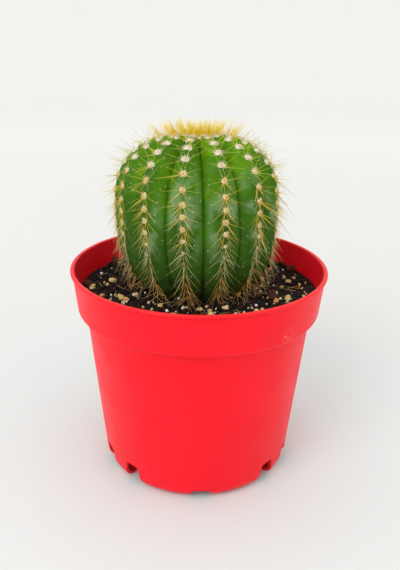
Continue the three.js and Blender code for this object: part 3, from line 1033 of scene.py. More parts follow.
def fibres(areole, random, count):
    """Roots, directions, bends, lengths and hearts of the short hairs of one cushion."""
    across, along, height = pad_size(areole["age"])
    share = np.sqrt(random.uniform(0, 1, count))
    turn = random.uniform(0, 2 * np.pi, count)
    x, y = across * share * np.cos(turn), along * share * np.sin(turn)
    z = height * np.sqrt(1 - 0.9 * share**2) * 0.8 - 0.5
    frame_axes = np.stack([areole["side"], areole["down"], areole["out"]])
    roots = areole["place"] + np.stack([x, y, z], axis=1) @ frame_axes
    lean = np.radians(FIBRE_LEAN + FIBRE_SPREAD * share) + random.normal(0, 0.2, count)
    swing = turn + random.normal(0, 0.35, count)
    ways = np.stack([np.sin(lean) * np.cos(swing), np.sin(lean) * np.sin(swing), np.cos(lean)], 1)
    bends = unit(random.normal(0, 1, (count, 3))) * random.uniform(*FIBRE_BEND, (count, 1))
    lengths = random.uniform(*FIBRE_LENGTH, count) * (0.6 + 0.4 * min(across / 1.5, 1))
    return roots, unit(ways @ frame_axes), bends, lengths, 1 - share


for age, place in ((0.2, "on the shoulder"), (0.5, "on the flank"), (0.9, "near the soil")):
    half_width, half_length, _ = pad_size(age)
    print(f"a cushion {place} is {2 * half_width:.1f} by {2 * half_length:.1f} mm")

# %% [markdown]
# ### Wool, from new to worn
#
# New wool is creamy white with a pinkish heart. On the flank it yellows round an amber heart,
# then it bleaches, and near the soil dust and age turn it orange brown. One material serves
# all cushions, because the age and the heart that are stored on the points choose the colour.
# A material for each stage would show steps between neighbours.

# %% Wool material
WOOL_YOUNG = linear(252, 246, 228)
WOOL_MIDDLE = linear(240, 228, 168)
WOOL_WORN = linear(240, 230, 192)
WOOL_OLD = linear(196, 142, 52)
HEART_YOUNG = linear(220, 188, 148)
HEART_MIDDLE = linear(200, 154, 60)
HEART_WORN = linear(226, 200, 136)
HEART_OLD = linear(176, 114, 30)


def wool_material():
    made, tree, shader = material("areole_wool")
    age, heart = stored(tree, "age"), stored(tree, "heart")
    edge = ramp(tree, age, [
        (0, WOOL_YOUNG), (0.3, WOOL_YOUNG), (0.38, WOOL_MIDDLE), (0.65, WOOL_MIDDLE),
        (0.7, WOOL_WORN), (0.8, WOOL_WORN), (0.88, WOOL_OLD),
    ])
    inner = ramp(tree, age, [
        (0, HEART_YOUNG), (0.3, HEART_YOUNG), (0.38, HEART_MIDDLE), (0.65, HEART_MIDDLE),
        (0.7, HEART_WORN), (0.8, HEART_WORN), (0.88, HEART_OLD),
    ])
    drift = use(tree, PATCHES, Scale=700, Detail=3, From=0.35, To=0.65)
    middle = math_node(tree, "MULTIPLY", heart, math_node(tree, "MULTIPLY_ADD", drift, 0.6, 0.5))
    plug(tree, shader.inputs["Base Color"], blend(tree, middle, edge, inner))
    set_evenly(shader, Roughness=0.95, Specular_IOR_Level=0.1)
    bump(tree, shader, use(tree, GRAIN, Scale=4000, Roughness=0.7), 0.1, 0.8)
    return made


WOOL = wool_material()
print("nodes in the wool:", len(WOOL.node_tree.nodes))

# %% Areole wool
FIBRES = 72  # on each cushion of the ribs
FIBRE_RADIUS = 0.06


def wool_piece(name, list_of_areoles, count, random):
    """The cushions of some areoles, with a count of fibres on each, as one piece."""
    parts, hearts, ages = [], [], []
    for areole in list_of_areoles:
        points, faces, heart = dome(areole, random)
        parts.append((points, faces))
        hearts += heart
        ages += [areole["age"]] * len(points)
    hairs = [fibres(areole, random, count) for areole in list_of_areoles]
    roots, ways, bends, lengths, heart = (np.concatenate(column) for column in zip(*hairs))
    radii = np.full(len(roots), FIBRE_RADIUS)
    points, faces, _ = needles(roots, ways, bends, lengths, radii, sides=3, rings=3)
    parts.append((points, faces))
    each = len(points) // len(roots)
    hearts += np.repeat(heart, each).tolist()
    hair_ages = [areole["age"] for areole in list_of_areoles]
    ages += np.repeat(hair_ages, each * count).tolist()
    piece = mesh_piece(name, *joined(parts), WOOL, "golden_spines")
    store(piece, "heart", hearts)
    store(piece, "age", ages)


wool_piece("areole_wool", RIB_AREOLES, FIBRES, np.random.default_rng(5))

# %% [markdown]
# ## Spines
#
# Every areole carries a wheel of thin radial spines and a few stouter central ones. On the
# shoulder the wheel is open all round. Lower down it has lost its upper spines and droops, so
# that an old rib looks like a herringbone. The oldest stand out over the soil and hang from
# there, because the skin below them turns in. One wheel of spines could be copied to every
# areole, but the eye finds such a repeat at once. So each spine gets its own jitter in
# direction, length and bend, and here and there a central one grows long and stout.

# %% Spine directions
RADIALS = 7
RADIAL_LEAN, RADIAL_LENGTH, RADIAL_RADIUS = (50, 68), (5.5, 8), (0.07, 0.11)
CENTRAL_LEAN, CENTRAL_LENGTH, CENTRAL_RADIUS = (14, 44), (7.5, 12.5), (0.1, 0.16)
STOUT_LEAN, STOUT_LENGTH, STOUT_RADIUS = (40, 62), (14, 17), 0.2
STOUT_SHARE = 0.12  # of the middle-aged areoles that carry one long stout spine
OPENED_AGES = (0.3, 0.6)  # ages between which the upper part of the wheel is lost
DROOPING_AGES = (0.34, 0.72)  # between which the spines begin to droop
HANGING_AGES = (0.72, 0.95)  # and to stand out over the soil and hang
WORN_AGE = 0.84  # over which some are lost
SPINE_SINK = 0.4  # how deep a spine is rooted in its cushion
SPINE_CLEAR = 89.4  # no tip lies lower, so that it rests on the soil and doesn't dive into it


def spine_set(areole, random):
    """Root, direction, bend, length, radius and kind of each spine of one areole."""
    age = areole["age"]
    opened = float(smooth(*OPENED_AGES, age))
    drooping = float(smooth(*DROOPING_AGES, age))
    hanging = float(smooth(*HANGING_AGES, age))
    across, along, _ = pad_size(age)
    out = unit(areole["out"] * (1 - hanging) + areole["away"] * hanging)
    below = unit(areole["down"] * (1 - hanging) - UP * hanging)
    stout = 0.35 < age < 0.7 and random.uniform() < STOUT_SHARE
    worn = age > WORN_AGE
    radials = RADIALS - 2 if worn else RADIALS
    centrals = 3 if 0.3 < age < 0.7 else 1 if worn else 2
    rows = []
    for k in range(radials + centrals):
        central = k >= radials
        if central:
            turn = 90 + random.uniform(-75, 75)
            lean = random.uniform(*CENTRAL_LEAN) + 22 * opened
            length = random.uniform(*CENTRAL_LENGTH) - 2 * opened
            radius = random.uniform(*CENTRAL_RADIUS)
        else:
            spread = 360 - 200 * opened
            turn = 90 + spread * ((k + 0.5) / radials - 0.5) + random.uniform(-15, 15)
            lean = random.uniform(*RADIAL_LEAN) + 14 * opened * (1 - hanging)
            sideways = abs(math.cos(math.radians(turn)))
            length = random.uniform(*RADIAL_LENGTH) + (4 if worn else 3 * sideways)
            radius = random.uniform(*RADIAL_RADIUS)
        if stout and k == radials:
            length, radius = random.uniform(*STOUT_LENGTH), STOUT_RADIUS
            lean = random.uniform(*STOUT_LEAN)
        turn, lean = math.radians(turn), math.radians(lean)
        flat = areole["side"] * math.cos(turn) + below * math.sin(turn)
        way = unit(out * math.cos(lean) + flat * math.sin(lean) - UP * 0.25 * drooping)
        root = areole["place"] + areole["side"] * (across * 0.4 * math.cos(turn))
        root = root + areole["down"] * (along * 0.4 * math.sin(turn)) - areole["out"] * SPINE_SINK
        way[2] = max(way[2], (SPINE_CLEAR - root[2]) / length)
        way = unit(way)
        bend = unit(random.normal(0, 1, 3)) * random.uniform(0.2, 0.9) - UP * (0.4 * drooping)
        low = root[2] + way[2] * length + bend[2] - SPINE_CLEAR
        bend = bend - UP * min(low, 0)
        rows.append((root, way, bend, length, radius, central))
    return rows


print("spines of a flank areole:", len(spine_set(areole_at(50, 0.0), np.random.default_rng(1))))

# %% [markdown]
# ### Straw-coloured spines
#
# A young spine is greenish yellow and an old one tan. All are darker at the root, bleached at
# the tip and a little see-through, as horn is. One flat colour would turn a rib's spines into a
# single mass. The age, the way along the spine and a tint of its own keep them apart.

# %% Spine material
SPINE_GOLD = linear(240, 196, 30)
SPINE_YOUNG = linear(206, 204, 84)
SPINE_MIDDLE = linear(234, 194, 62)
SPINE_WORN = linear(206, 200, 140)
SPINE_OLD = linear(212, 166, 92)
SPINE_ROOT = linear(186, 128, 24)
SPINE_TIP = linear(240, 226, 176)


def spine_material():
    made, tree, shader = material("straw_spines")
    age, along, tint = stored(tree, "age"), stored(tree, "along"), stored(tree, "tint")
    aged = math_node(tree, "ADD", age, math_node(tree, "MULTIPLY_ADD", tint, 0.14, -0.07))
    colour = ramp(tree, aged, [
        (0.1, SPINE_GOLD), (0.2, SPINE_YOUNG), (0.33, SPINE_YOUNG), (0.42, SPINE_MIDDLE),
        (0.66, SPINE_MIDDLE), (0.76, SPINE_WORN), (0.86, SPINE_WORN), (0.97, SPINE_OLD),
    ])
    colour = lay_over(tree, colour, rise(tree, along, 0.28, 0.0), 0.5, SPINE_ROOT)
    colour = lay_over(tree, colour, rise(tree, along, 0.55, 1.0), 0.45, SPINE_TIP)
    plug(tree, shader.inputs["Base Color"], colour)
    set_evenly(shader, Roughness=0.42, Specular_IOR_Level=0.3, Subsurface_Weight=0.2)
    set_evenly(shader, Subsurface_Radius=(1, 0.8, 0.3), Subsurface_Scale=0.6 * MM)
    return made


STRAW = spine_material()
print("nodes in the spines:", len(STRAW.node_tree.nodes))

# %% Rib spines


def spine_piece(name, rows, ages, random, surface, replaces=()):
    """One piece from rows of a root, a direction, a bend, a length and a radius."""
    roots, ways, bends = (np.array([row[i] for row in rows]) for i in range(3))
    lengths, radii = (np.array([row[i] for row in rows], float) for i in (3, 4))
    points, faces, along = needles(roots, ways, bends, lengths, radii, rings=6)
    each = len(points) // len(roots)
    piece = mesh_piece(name, points, faces, surface, "golden_spines", replaces)
    store(piece, "along", along)
    store(piece, "age", np.repeat(ages, each))
    store(piece, "tint", np.repeat(random.uniform(0, 1, len(roots)), each))


def rib_spines():
    random = np.random.default_rng(13)
    sets = [(areole, spine_set(areole, random)) for areole in RIB_AREOLES]
    for name, wanted in (("radial_spines", False), ("central_spines", True)):
        rows = [row for areole, some in sets for row in some if row[5] is wanted]
        ages = [areole["age"] for areole, some in sets for row in some if row[5] is wanted]
        spine_piece(name, rows, ages, random, STRAW)
        print(name, len(rows))


rib_spines()

# %% [markdown]
# ## The crown
#
# In the middle of the crown the areoles touch one another. Their wool is white, and the new
# spines of each one stand close together, straight and golden, like the hairs of a small
# brush, with a few thin ones that stand away from it. Spines spread evenly over the crown would
# look like grass, so each areole grows its own brush. Upright in the middle, the brushes lean
# out more and more towards the shoulder, where they are thinner. The outer ones stand on the
# ribs, and a golden-angle spiral, the way a plant packs new growth, fills the middle. One brush
# stands further out in front, in the head of the groove between two ribs.

# %% Crown tuft
INNER_AREOLES = 9
INNER_WAY = 4.6  # how far the spiral reaches from the middle of the crown
FRONT_BRUSH = (11, math.radians(5), 1)  # its way, its angle and how deep it sits in the groove
GOLDEN_ANGLE = math.pi * (3 - math.sqrt(5))


def crown_areoles():
    found = [areole for areole in ALL_AREOLES if areole["way"] < CROWN_END]
    for i in range(INNER_AREOLES):
        way = INNER_WAY * math.sqrt((i + 0.3) / INNER_AREOLES)
        found.append(areole_at(way, i * GOLDEN_ANGLE))
    way, angle, depth = FRONT_BRUSH
    front = areole_at(way, angle)
    front["place"] = front["place"] - front["out"] * depth
    return found + [front]


CROWN_AREOLES = crown_areoles()
print("areoles of the crown:", len(CROWN_AREOLES))

# %% [markdown]
# ### Gold, from root to tip
#
# New spines are glossier and much yellower than the rest, amber at the root and pale at the
# tip. The straw of the ribs could be reused with an age of 0, but its brown roots and bleached
# tips would dull the tuft, so the crown has a gold of its own. A tint for each spine keeps the
# brushes from looking like one block.

# %% Crown material
CROWN_ROOT = linear(238, 178, 0)
CROWN_GOLD = linear(252, 214, 12)
CROWN_TIP = linear(255, 238, 140)


def crown_material():
    made, tree, shader = material("golden_crown_spines")
    along, tint = stored(tree, "along"), stored(tree, "tint")
    colour = ramp(tree, along, [(0, CROWN_ROOT), (0.4, CROWN_GOLD), (1, CROWN_TIP)])
    plug(tree, shader.inputs["Base Color"], lay_over(tree, colour, tint, 0.25, CROWN_ROOT))
    set_evenly(shader, Roughness=0.35, Specular_IOR_Level=0.35, Subsurface_Weight=0.25)
    set_evenly(shader, Subsurface_Radius=(1, 0.8, 0.2), Subsurface_Scale=0.8 * MM)
    return made


GOLD = crown_material()
print("nodes in the gold:", len(GOLD.node_tree.nodes))

# %% Crown spines
BRUSH = 9  # spines in each brush
EDGE_BRUSH = 5  # and in those at the edge of the crown
STRAYS = 5  # thin spines that stand away from a brush
BRUSH_WIDTH = 1.15  # half of its width at the base
BRUSH_HEIGHT = (7.6, 10.4)
MIDDLE_LEAN = 6  # degrees by which a brush leans in the middle of the crown
EDGE_LEAN = 46  # degrees more at its edge
STRAY_RADIUS, BRUSH_RADIUS = 0.09, (0.13, 0.19)
CROWN_HIGHEST = 168.3  # the most that a tip may reach
CROWN_FIBRES = 90  # on each cushion of the crown


def brush(areole, random):
    """The spines of one crown areole: a close brush and the thin strays round it."""
    outwards = areole["way"] / CROWN_END
    lean = math.radians(MIDDLE_LEAN + EDGE_LEAN * outwards**1.3 + random.uniform(-6, 6))
    axis = PLANT_UP * math.cos(lean) + areole["away"] * math.sin(lean)
    axis = unit(axis + random.normal(0, 0.07, 3))
    side = unit(np.cross(axis, areole["down"]))
    other = np.cross(side, axis)
    tall = random.uniform(*BRUSH_HEIGHT) + 3 * outwards
    close = BRUSH if outwards < 0.6 else EDGE_BRUSH
    rows = []
    for k in range(close + STRAYS):
        stray = k >= close
        share = math.sqrt((k % close + 0.5) / close)
        flat = side * math.cos(k * GOLDEN_ANGLE) + other * math.sin(k * GOLDEN_ANGLE)
        root = areole["place"] + flat * BRUSH_WIDTH * share - axis * 0.5
        if stray:
            length = tall * random.uniform(0.62, 1.0)
            way = unit(axis + flat * random.uniform(0.35, 0.7))
        else:
            length = tall * (1 - 0.3 * share * random.uniform(0.4, 1))
            way = unit(axis * tall - flat * BRUSH_WIDTH * share * random.uniform(-1.1, 0.6))
        room = CROWN_HIGHEST - random.uniform(0, 2.2) - root[2]
        length = min(length, room / max(way[2], 0.3))
        bend = unit(random.normal(0, 1, 3)) * (0.5 if stray else 0.15)
        radius = STRAY_RADIUS if stray else random.uniform(*BRUSH_RADIUS)
        rows.append((root, way, bend, length, radius))
    return rows


def crown_spines():
    random = np.random.default_rng(29)
    rows = [row for areole in CROWN_AREOLES for row in brush(areole, random)]
    spine_piece("crown_spines", rows, np.zeros(len(rows)), random, GOLD, ["crown_tuft"])
    print("crown spines:", len(rows))


crown_spines()
wool_piece("crown_wool", CROWN_AREOLES, CROWN_FIBRES, np.random.default_rng(31))

# %% [markdown]
# ## The soil
#
# Cactus soil is a coarse mix: dark crumbs of peat and bark, cream and tan grit, and white
# perlite. A rough ground alone would look like a painted disc, so the ground only carries the
# mix, and every crumb, stone and chip on it gets a shape of its own. The ground closes round
# the plant's root below the surface, and heaps up a little against the skin.

# %% Height of the soil
SOIL_LEVEL = 87.7
SOIL_UNEVEN = 0.45
HEAP, HEAP_WIDTH = 1.2, 6  # height of the heap against the skin, and how far out it fades
LUMP_SCALE = 0.35
LUMP_HEIGHT = 0.9


def soil_height(x, y):
    wave = np.sin(x * 0.31 + 1) * np.cos(y * 0.27) + 0.6 * np.sin(x * 0.13 - y * 0.19)
    return SOIL_LEVEL + SOIL_UNEVEN * wave


def skin_radius(angle, z):
    """Distance of the skin from the plant's axis, at an angle and a height on the plant."""
    half = CREST_POINTS // 2
    r = crest_at(np.interp(-z, -line_z[half:], line_way[half:]))[0]
    ribs = np.arange(-RIBS, RIBS + 1)
    rib = np.interp(angle, rib_angle(ribs), ribs)
    return r - groove_depth(r, z) * (2 * np.abs(rib - np.round(rib))) ** FLANK_OLD


def plant_edge(angle):
    """How far the leaning skin stands from its seat at the level of the soil."""
    way = np.array([math.sin(angle), -math.cos(angle)])
    edge = 25.0  # a first guess, which each round mends
    for _ in range(5):
        point = np.append(SEAT_PLACE[:2] + edge * way, SOIL_LEVEL)
        x, y, z = (point - SEAT_PLACE) @ STANCE
        edge *= float(skin_radius(math.atan2(x, -y), z + SEAT)) / math.hypot(x, y)
    return edge


EDGE_ANGLES = np.linspace(-np.pi, np.pi, 721)
EDGES = np.array([plant_edge(angle) for angle in EDGE_ANGLES])
print(f"the skin meets the soil {EDGES.min():.1f} to {EDGES.max():.1f} mm from its seat")


def beyond_skin(x, y):
    """How far a place on the soil is from the skin."""
    angle = math.atan2(x - PLANT_X, PLANT_Y - y)
    return math.hypot(x - PLANT_X, y - PLANT_Y) - float(np.interp(angle, EDGE_ANGLES, EDGES))


def lumpy_height(x, y):
    """The soil's height with its lumps, and the low heap that it forms round the plant."""
    place = Vector((x * LUMP_SCALE, y * LUMP_SCALE, 3))
    lumps = noise.fractal(place, 1, 2, 4) * LUMP_HEIGHT + 0.3
    heap = HEAP * math.exp(-((beyond_skin(x, y) / HEAP_WIDTH) ** 2))
    return float(soil_height(x, y)) + lumps + heap


print(f"height of the soil in front of the plant: {lumpy_height(0, -45):.1f} mm")

# %% Ground
SOIL_COLUMNS = 260
SOIL_ROWS = 46
SOIL_GAP = 0.3  # between the soil and the pot


def ground_rings():
    """Rings from the soil's underside up along the wall, in over its top and down to the root."""
    angles = np.linspace(-np.pi, np.pi, SOIL_COLUMNS, endpoint=False)
    sines, cosines = np.sin(angles), -np.cos(angles)

    def ring(radius, z):
        x, y = PLANT_X + radius * sines, PLANT_Y + radius * cosines
        return np.stack([x, y, np.full(SOIL_COLUMNS, z)], 1)

    def to_wall(outer):
        reach = -(PLANT_X * sines + PLANT_Y * cosines)
        return reach + np.sqrt(reach**2 - PLANT_X**2 - PLANT_Y**2 + outer**2)

    inner = [around(np.full(SOIL_COLUMNS, r + 0.4), z - 0.3, angles) for r, z in ROOT]
    edge = np.interp(angles, EDGE_ANGLES, EDGES)
    inner.append(ring(edge - 2.6, 84))
    inner.append(ring(edge - 0.9, SOIL_LEVEL - 1.2))
    wall = to_wall(collar_radius(SOIL_LEVEL) - POT_WALL - SOIL_GAP)
    top = []
    for share in np.linspace(0, 1, SOIL_ROWS):
        radius = edge - 0.3 + (wall - edge + 0.3) * share
        points = ring(radius, 0)
        points[:, 2] = [lumpy_height(x, y) for x, y, z in points]
        top.append(points)
    outer = [
        (collar_radius(STEP_TOP) - POT_WALL - 0.5, STEP_TOP + 2),
        (collar_radius(STEP_TOP) - POT_WALL - 1.5, STEP_TOP + SOIL_GAP),
        (wall_radius(STEP_TOP) - POT_WALL - SOIL_GAP, STEP_TOP + SOIL_GAP),
        (wall_radius(FLOOR_TOP + 2.6) - POT_WALL - SOIL_GAP, FLOOR_TOP + 2.7),
        (wall_radius(FLOOR_TOP) - POT_WALL - 2.3, FLOOR_TOP + SOIL_GAP),
    ]
    side = [ring(to_wall(r), z) for r, z in outer]
    return (inner + top + side)[::-1]


print("rings of the ground:", len(ground_rings()))

# %% [markdown]
# ### Stones and crumbs
#
# Crushed stone is a ball that has been cut by a handful of planes. Thousands of Boolean cuts
# would take minutes, and working it out directly gives the same flat faces and sharp edges from
# one ball mesh: each point is drawn in until it meets the nearest plane. With many shallow
# planes the same rule gives soft crumbs, and scaled flat it gives chips of bark.

# %% Stone maker


def ball(divisions):
    """Points and faces of a ball of triangles with a radius of 1."""
    work = bmesh.new()
    bmesh.ops.create_icosphere(work, subdivisions=divisions, radius=1)
    work.verts.index_update()
    points = np.array([v.co[:] for v in work.verts])
    faces = [tuple(v.index for v in face.verts) for face in work.faces]
    work.free()
    return points, faces


FINE_BALL = ball(2)
COARSE_BALL = ball(1)


def stone(template, random, planes, depth):
    """A stone of about unit size: planes cut it down to between depth and 1."""
    points, faces = template
    normals = unit(random.normal(0, 1, (planes, 3)))
    offsets = random.uniform(depth, 1, planes)
    facing = points @ normals.T
    reach = np.where(facing > 0.05, offsets / np.maximum(facing, 0.05), 9)
    return points * np.minimum(reach.min(axis=1), 1)[:, None], faces


def turned_at_random(points, random):
    axis = Vector(random.normal(0, 1, 3))
    return points @ np.array(Matrix.Rotation(random.uniform(0, 2 * np.pi), 3, axis)).T


print("points of a fine and of a coarse stone:", len(FINE_BALL[0]), len(COARSE_BALL[0]))

# %% Scattering
SCATTER_REACH = 53.5  # a stone's distance from the pot's axis, which keeps it off the wall


def scattered(random, count, near, far=SCATTER_REACH):
    """Places on the soil, at least so near to the skin and at most so far from the axis, each
    with a share that says how large its stone is, from 0 for the smallest to 1."""
    places = []
    while len(places) < count:
        x, y = random.uniform(-far, far, 2)
        if beyond_skin(x, y) > near and math.hypot(x, y) < far:
            places.append((x, y, random.uniform()))
    return places


def scatter_piece(name, template, places, random, surface, size, planes, depth, flat, lift):
    """Stones of one kind at given places, each with its own size, cut, turn and tint."""
    parts, tints = [], []
    for x, y, large in places:
        radius = mix(*size, large**1.6)
        points, faces = stone(template, random, planes, depth)
        points = points * [1, random.uniform(0.7, 1), random.uniform(*flat)] * radius
        points = turned_at_random(points, random)
        points = points + [x, y, lumpy_height(x, y) + radius * lift]
        parts.append((points, faces))
        tints += [random.uniform()] * len(points)
    piece = mesh_piece(name, *joined(parts), surface, "potting_mix")
    store(piece, "tint", tints)
    return piece


x, y, large = scattered(np.random.default_rng(1), count=1, near=1)[0]
print(f"a place for a stone: {x:.1f}, {y:.1f} mm from the pot's axis")

# %% [markdown]
# ### Peat, grit, perlite and bark
#
# The mix is nearly black where it is damp peat, and its stones are tan to cream or white. All
# four are dull, rough and uneven, so one recipe makes them: a few colours, a patchy drift, a
# tint for each bit, a coarse grain and, in the peat, pale specks. Four materials built apart
# would say the same thing four times.

# %% Soil materials
PEAT_DARK = linear(20, 12, 9)
PEAT_BROWN = linear(58, 36, 24)
CREAM = linear(236, 214, 164)
TAN = linear(196, 148, 78)
SANDY = linear(220, 190, 128)
PERLITE_WHITE = linear(244, 242, 236)
BARK_DARK = linear(44, 24, 16)
BARK_RED = linear(92, 48, 28)


def earth_material(name, colours, grain, relief, specks):
    """A rough mineral or earthy surface in a few colours, chosen by each bit's own tint."""
    made, tree, shader = material(name)
    tint = stored(tree, "tint")
    drift = use(tree, PATCHES, Scale=grain, Detail=4, From=0.3, To=0.7)
    mixed = math_node(tree, "MULTIPLY_ADD", drift, 0.5, math_node(tree, "MULTIPLY", tint, 0.5))
    places = np.linspace(0.1, 0.9, len(colours))
    colour = ramp(tree, mixed, list(zip(places, colours)))
    pale = use(tree, SPECKS, Scale=1500, Size=0.4, Share=specks)
    plug(tree, shader.inputs["Base Color"], lay_over(tree, colour, pale, 0.5, CREAM))
    set_evenly(shader, Roughness=0.9, Specular_IOR_Level=0.25)
    bump(tree, shader, use(tree, GRAIN, Scale=grain * 4, Roughness=0.7), relief, 0.9)
    return made


PEAT = earth_material("dark_peat", [PEAT_DARK, PEAT_DARK, PEAT_BROWN], 400, 0.3, 0.06)
GRIT = earth_material("pale_grit", [TAN, SANDY, CREAM], 500, 0.1, 0)
PERLITE = earth_material("white_perlite", [SANDY, PERLITE_WHITE, PERLITE_WHITE], 900, 0.1, 0)
BARK = earth_material("bark_chips", [BARK_DARK, BARK_RED, BARK_DARK], 300, 0.2, 0)
print("soil materials:", [made.name for made in (PEAT, GRIT, PERLITE, BARK)])

# %% [markdown]
# ### Filling the pot
#
# The larger stones catch the eye, so their places are noted one by one, and chance places the
# rest. Noting all of them would take long and show no more. Each kind has its own range of
# sizes, cuts and flatness, and its middle is lifted over the ground by a share of its size. A
# few thicker chips of bark stick out, most of them near the wall.

# %% Places and kinds of bits
NOTED_GRIT = (  # x, y and how large it is
    (11.7, -26.7, 0.95), (12.6, -23.6, 0.6), (-2.5, -23.4, 0.55), (-5.1, -25, 0.5),
    (3.6, -25.3, 0.5), (-35.5, -15.4, 1.0), (-33.4, -17.6, 0.7), (-37.8, -13.2, 0.8),
    (-41.8, 2.9, 1.1), (-26.1, -2.8, 0.4), (31.2, -1.3, 0.9), (37.2, -15.5, 0.7),
    (40.8, -15.4, 0.8), (42.6, 13.8, 0.8), (43.8, 7.1, 1.0), (-50.6, -1.5, 0.8),
    (-50.7, -6.5, 0.7), (-44.1, -15.8, 0.9), (-40.1, -17.9, 0.6), (-36.8, -11.9, 0.5),
    (-10.8, -34.9, 0.9), (-16.9, -25.8, 0.8), (6.3, -35.2, 0.7), (1.2, -35.4, 0.5),
    (34.5, -8.2, 0.9),
)
NOTED_PERLITE = (
    (-29.7, -14, 0.8), (-22.1, -21.6, 0.9), (-13.7, -28.9, 0.8), (37.2, -15.5, 0.7),
    (30.7, -21, 0.6),
)
STANDING_BARK = ((43.3, 28.9, 0.9), (46.8, 22.6, 0.7), (-43.9, 27.8, 0.8), (33.5, -15, 1.0))
# radii in mm and number of cuts; then their depth, thickness and lift as shares of the radius
CRUMB = {"size": (0.5, 2.0), "planes": 12, "depth": 0.6, "flat": (0.6, 1), "lift": 0.1}
STONE = {"size": (0.45, 1.9), "planes": 9, "depth": 0.5, "flat": (0.6, 0.9), "lift": 0.3}
WHITE = {"size": (0.3, 1.2), "planes": 14, "depth": 0.75, "flat": (0.8, 1), "lift": 0.4}
CHIP = {"size": (1.6, 4), "planes": 8, "depth": 0.45, "flat": (0.25, 0.4), "lift": 0.25}
TALL_CHIP = {"size": (2.5, 3.6), "planes": 8, "depth": 0.45, "flat": (0.4, 0.6), "lift": 0.5}
print("noted bits:", len(NOTED_GRIT) + len(NOTED_PERLITE) + len(STANDING_BARK))

# %% Soil pieces
CRUMB_COUNT, STONE_COUNT, WHITE_COUNT, CHIP_COUNT = 1150, 170, 80, 26  # placed by chance


def ground_piece():
    below = (PLANT_X, PLANT_Y, FLOOR_TOP + SOIL_GAP)
    under_root = around(0.0, ROOT[0][1] - 3.3, np.array(0.0))
    points, faces = closed_rings(ground_rings(), below, under_root)
    ground = mesh_piece("soil_ground", points, faces, PEAT, "potting_mix", ["soil"])
    store(ground, "tint", np.full(len(points), 0.2))


def soil_bits():
    random = np.random.default_rng(7)
    crumbs = scattered(random, CRUMB_COUNT, near=0.3, far=54.5)
    scatter_piece("soil_crumbs", COARSE_BALL, crumbs, random, PEAT, **CRUMB)
    stones = scattered(random, STONE_COUNT, near=0.9) + list(NOTED_GRIT)
    grit = scatter_piece("grit", FINE_BALL, stones, random, GRIT, **STONE)
    grit.data.shade_flat()  # sharp edges between the cuts
    white = scattered(random, WHITE_COUNT, near=1.2) + list(NOTED_PERLITE)
    scatter_piece("perlite", COARSE_BALL, white, random, PERLITE, **WHITE)
    chips = scattered(random, CHIP_COUNT, near=3)
    scatter_piece("bark_chips", FINE_BALL, chips, random, BARK, **CHIP)
    scatter_piece("standing_bark", FINE_BALL, STANDING_BARK, random, BARK, **TALL_CHIP)


ground_piece()
soil_bits()

# %% [markdown]
# ### What has fallen on the soil
#
# Old areoles drop their spines, and the mix holds fibres of old roots. They lie where they
# fell, on top of everything, and their thin dry lines break up the dark soil. They could be
# dropped in a simulation, but a random turn at the soil's own height looks the same and always
# gives the same result. One that would reach the wall is turned back.

# %% Litter
FALLEN_SPINES = 90
FALLEN_FIBRES = 70


def litter(name, count, lengths, radii, surface, slot, age, seed):
    """Thin bits that lie on the soil, with a range of lengths and of radii."""
    random = np.random.default_rng(seed)
    places = scattered(random, count, near=0.6, far=50)
    roots = np.array([(x, y, lumpy_height(x, y) + 0.9) for x, y, _ in places])
    turn = random.uniform(0, 2 * np.pi, count)
    ways = unit(np.stack([np.cos(turn), np.sin(turn), random.normal(0.04, 0.1, count)], 1))
    bends = random.normal(0, 0.7, (count, 3)) * [1, 1, 0.3]
    reach = random.uniform(*lengths, count)
    tips = roots + ways * reach[:, None]
    ways[np.hypot(tips[:, 0], tips[:, 1]) > SCATTER_REACH] *= [-1, -1, 1]  # back from the wall
    points, faces, along = needles(roots, ways, bends, reach, random.uniform(*radii, count))
    piece = mesh_piece(name, points, faces, surface, slot)
    each = len(points) // count
    store(piece, "along", along)
    store(piece, "age", np.full(len(points), age))
    store(piece, "tint", np.repeat(random.uniform(0, 1, count), each))


litter(
    "fallen_spines", FALLEN_SPINES, lengths=(5, 10), radii=(0.09, 0.14),
    surface=STRAW, slot="golden_spines", age=0.9, seed=41,
)
litter(
    "root_fibres", FALLEN_FIBRES, lengths=(4, 9), radii=(0.1, 0.2),
    surface=BARK, slot="potting_mix", age=1, seed=43,
)

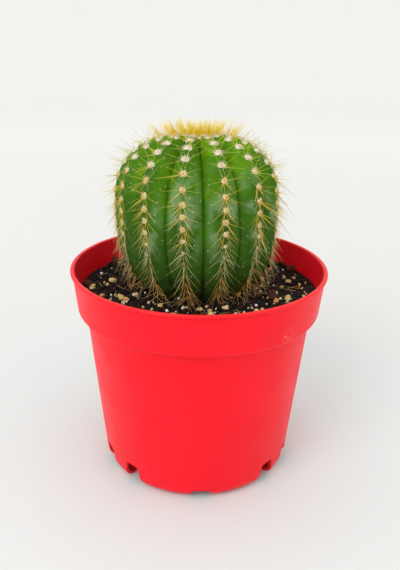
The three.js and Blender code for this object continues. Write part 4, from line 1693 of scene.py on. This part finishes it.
# %% [markdown]
# ## The studio
#
# The object stands in a white studio with light from all round. A sheet of pale paper covers
# the table and rises far behind, with one large soft lamp from the upper left and a weaker
# one from the right, so that the pot glows evenly and casts only a faint shadow. The lamps
# stand near the object and light the paper there more than the paper behind it, so the paper
# is a little darker near the middle, which evens it out. Close to the pot it is also a little
# cooler, because the pot throws red light on it. A plain floor and one wall would show a line
# where they meet.

# %% Paper
PAPER_RADIUS = 2600
PAPER_CURVE = 900
PAPER_HEIGHT = 1900
PAPER_COLUMNS = 96
PAPER_NEAR = linear(220, 234, 233)
PAPER_MIDDLE = linear(229, 229, 227)
PAPER_FAR = linear(247, 247, 245)


def paper_material():
    made, tree, shader = material("white_paper")
    away = add(tree, "VectorMath", {"operation": "LENGTH"})
    plug(tree, away.inputs[0], place_on_surface(tree))
    share = rise(tree, away.outputs["Value"], 60 * MM, 1100 * MM)
    colour = ramp(tree, share, [(0, PAPER_NEAR), (0.14, PAPER_MIDDLE), (1, PAPER_FAR)])
    plug(tree, shader.inputs["Base Color"], colour)
    set_evenly(shader, Roughness=0.9, Specular_IOR_Level=0.1)
    return made


def paper_sheet():
    level = PAPER_RADIUS - PAPER_CURVE
    section = [(0, 0)] + straight((0, 0), (level, 0), 4)
    section += arc(level, PAPER_CURVE, PAPER_CURVE, -90, 0, 16) + [(PAPER_RADIUS, PAPER_HEIGHT)]
    paper = mesh_object("paper", *turned(section[::-1], PAPER_COLUMNS, closed=False))
    dress(paper, paper_material())


paper_sheet()
print(f"paper {2 * PAPER_RADIUS * MM:.1f} m across")

# %% Lamps
LAMP_TARGET = (0, 0, 90)


def lamp(name, place, size, watts):
    data = bpy.data.lights.new(name, "AREA")
    data.shape = "DISK"
    data.size = size * MM
    data.energy = watts
    made = bpy.data.objects.new(name, data)
    scene.collection.objects.link(made)
    made.location = Vector(place) * MM
    towards = Vector(LAMP_TARGET) - Vector(place)
    made.rotation_euler = towards.to_track_quat("-Z", "Y").to_euler()


lamp("key", (-550, -750, 900), size=700, watts=5.0)
lamp("fill", (800, -500, 500), size=800, watts=0.8)
world = bpy.data.worlds.new("soft_light")
world.use_nodes = True
world.node_tree.nodes["Background"].inputs["Color"].default_value = (1, 1, 1, 1)
world.node_tree.nodes["Background"].inputs["Strength"].default_value = 1.0
scene.world = world
scene.view_settings.view_transform = "Standard"
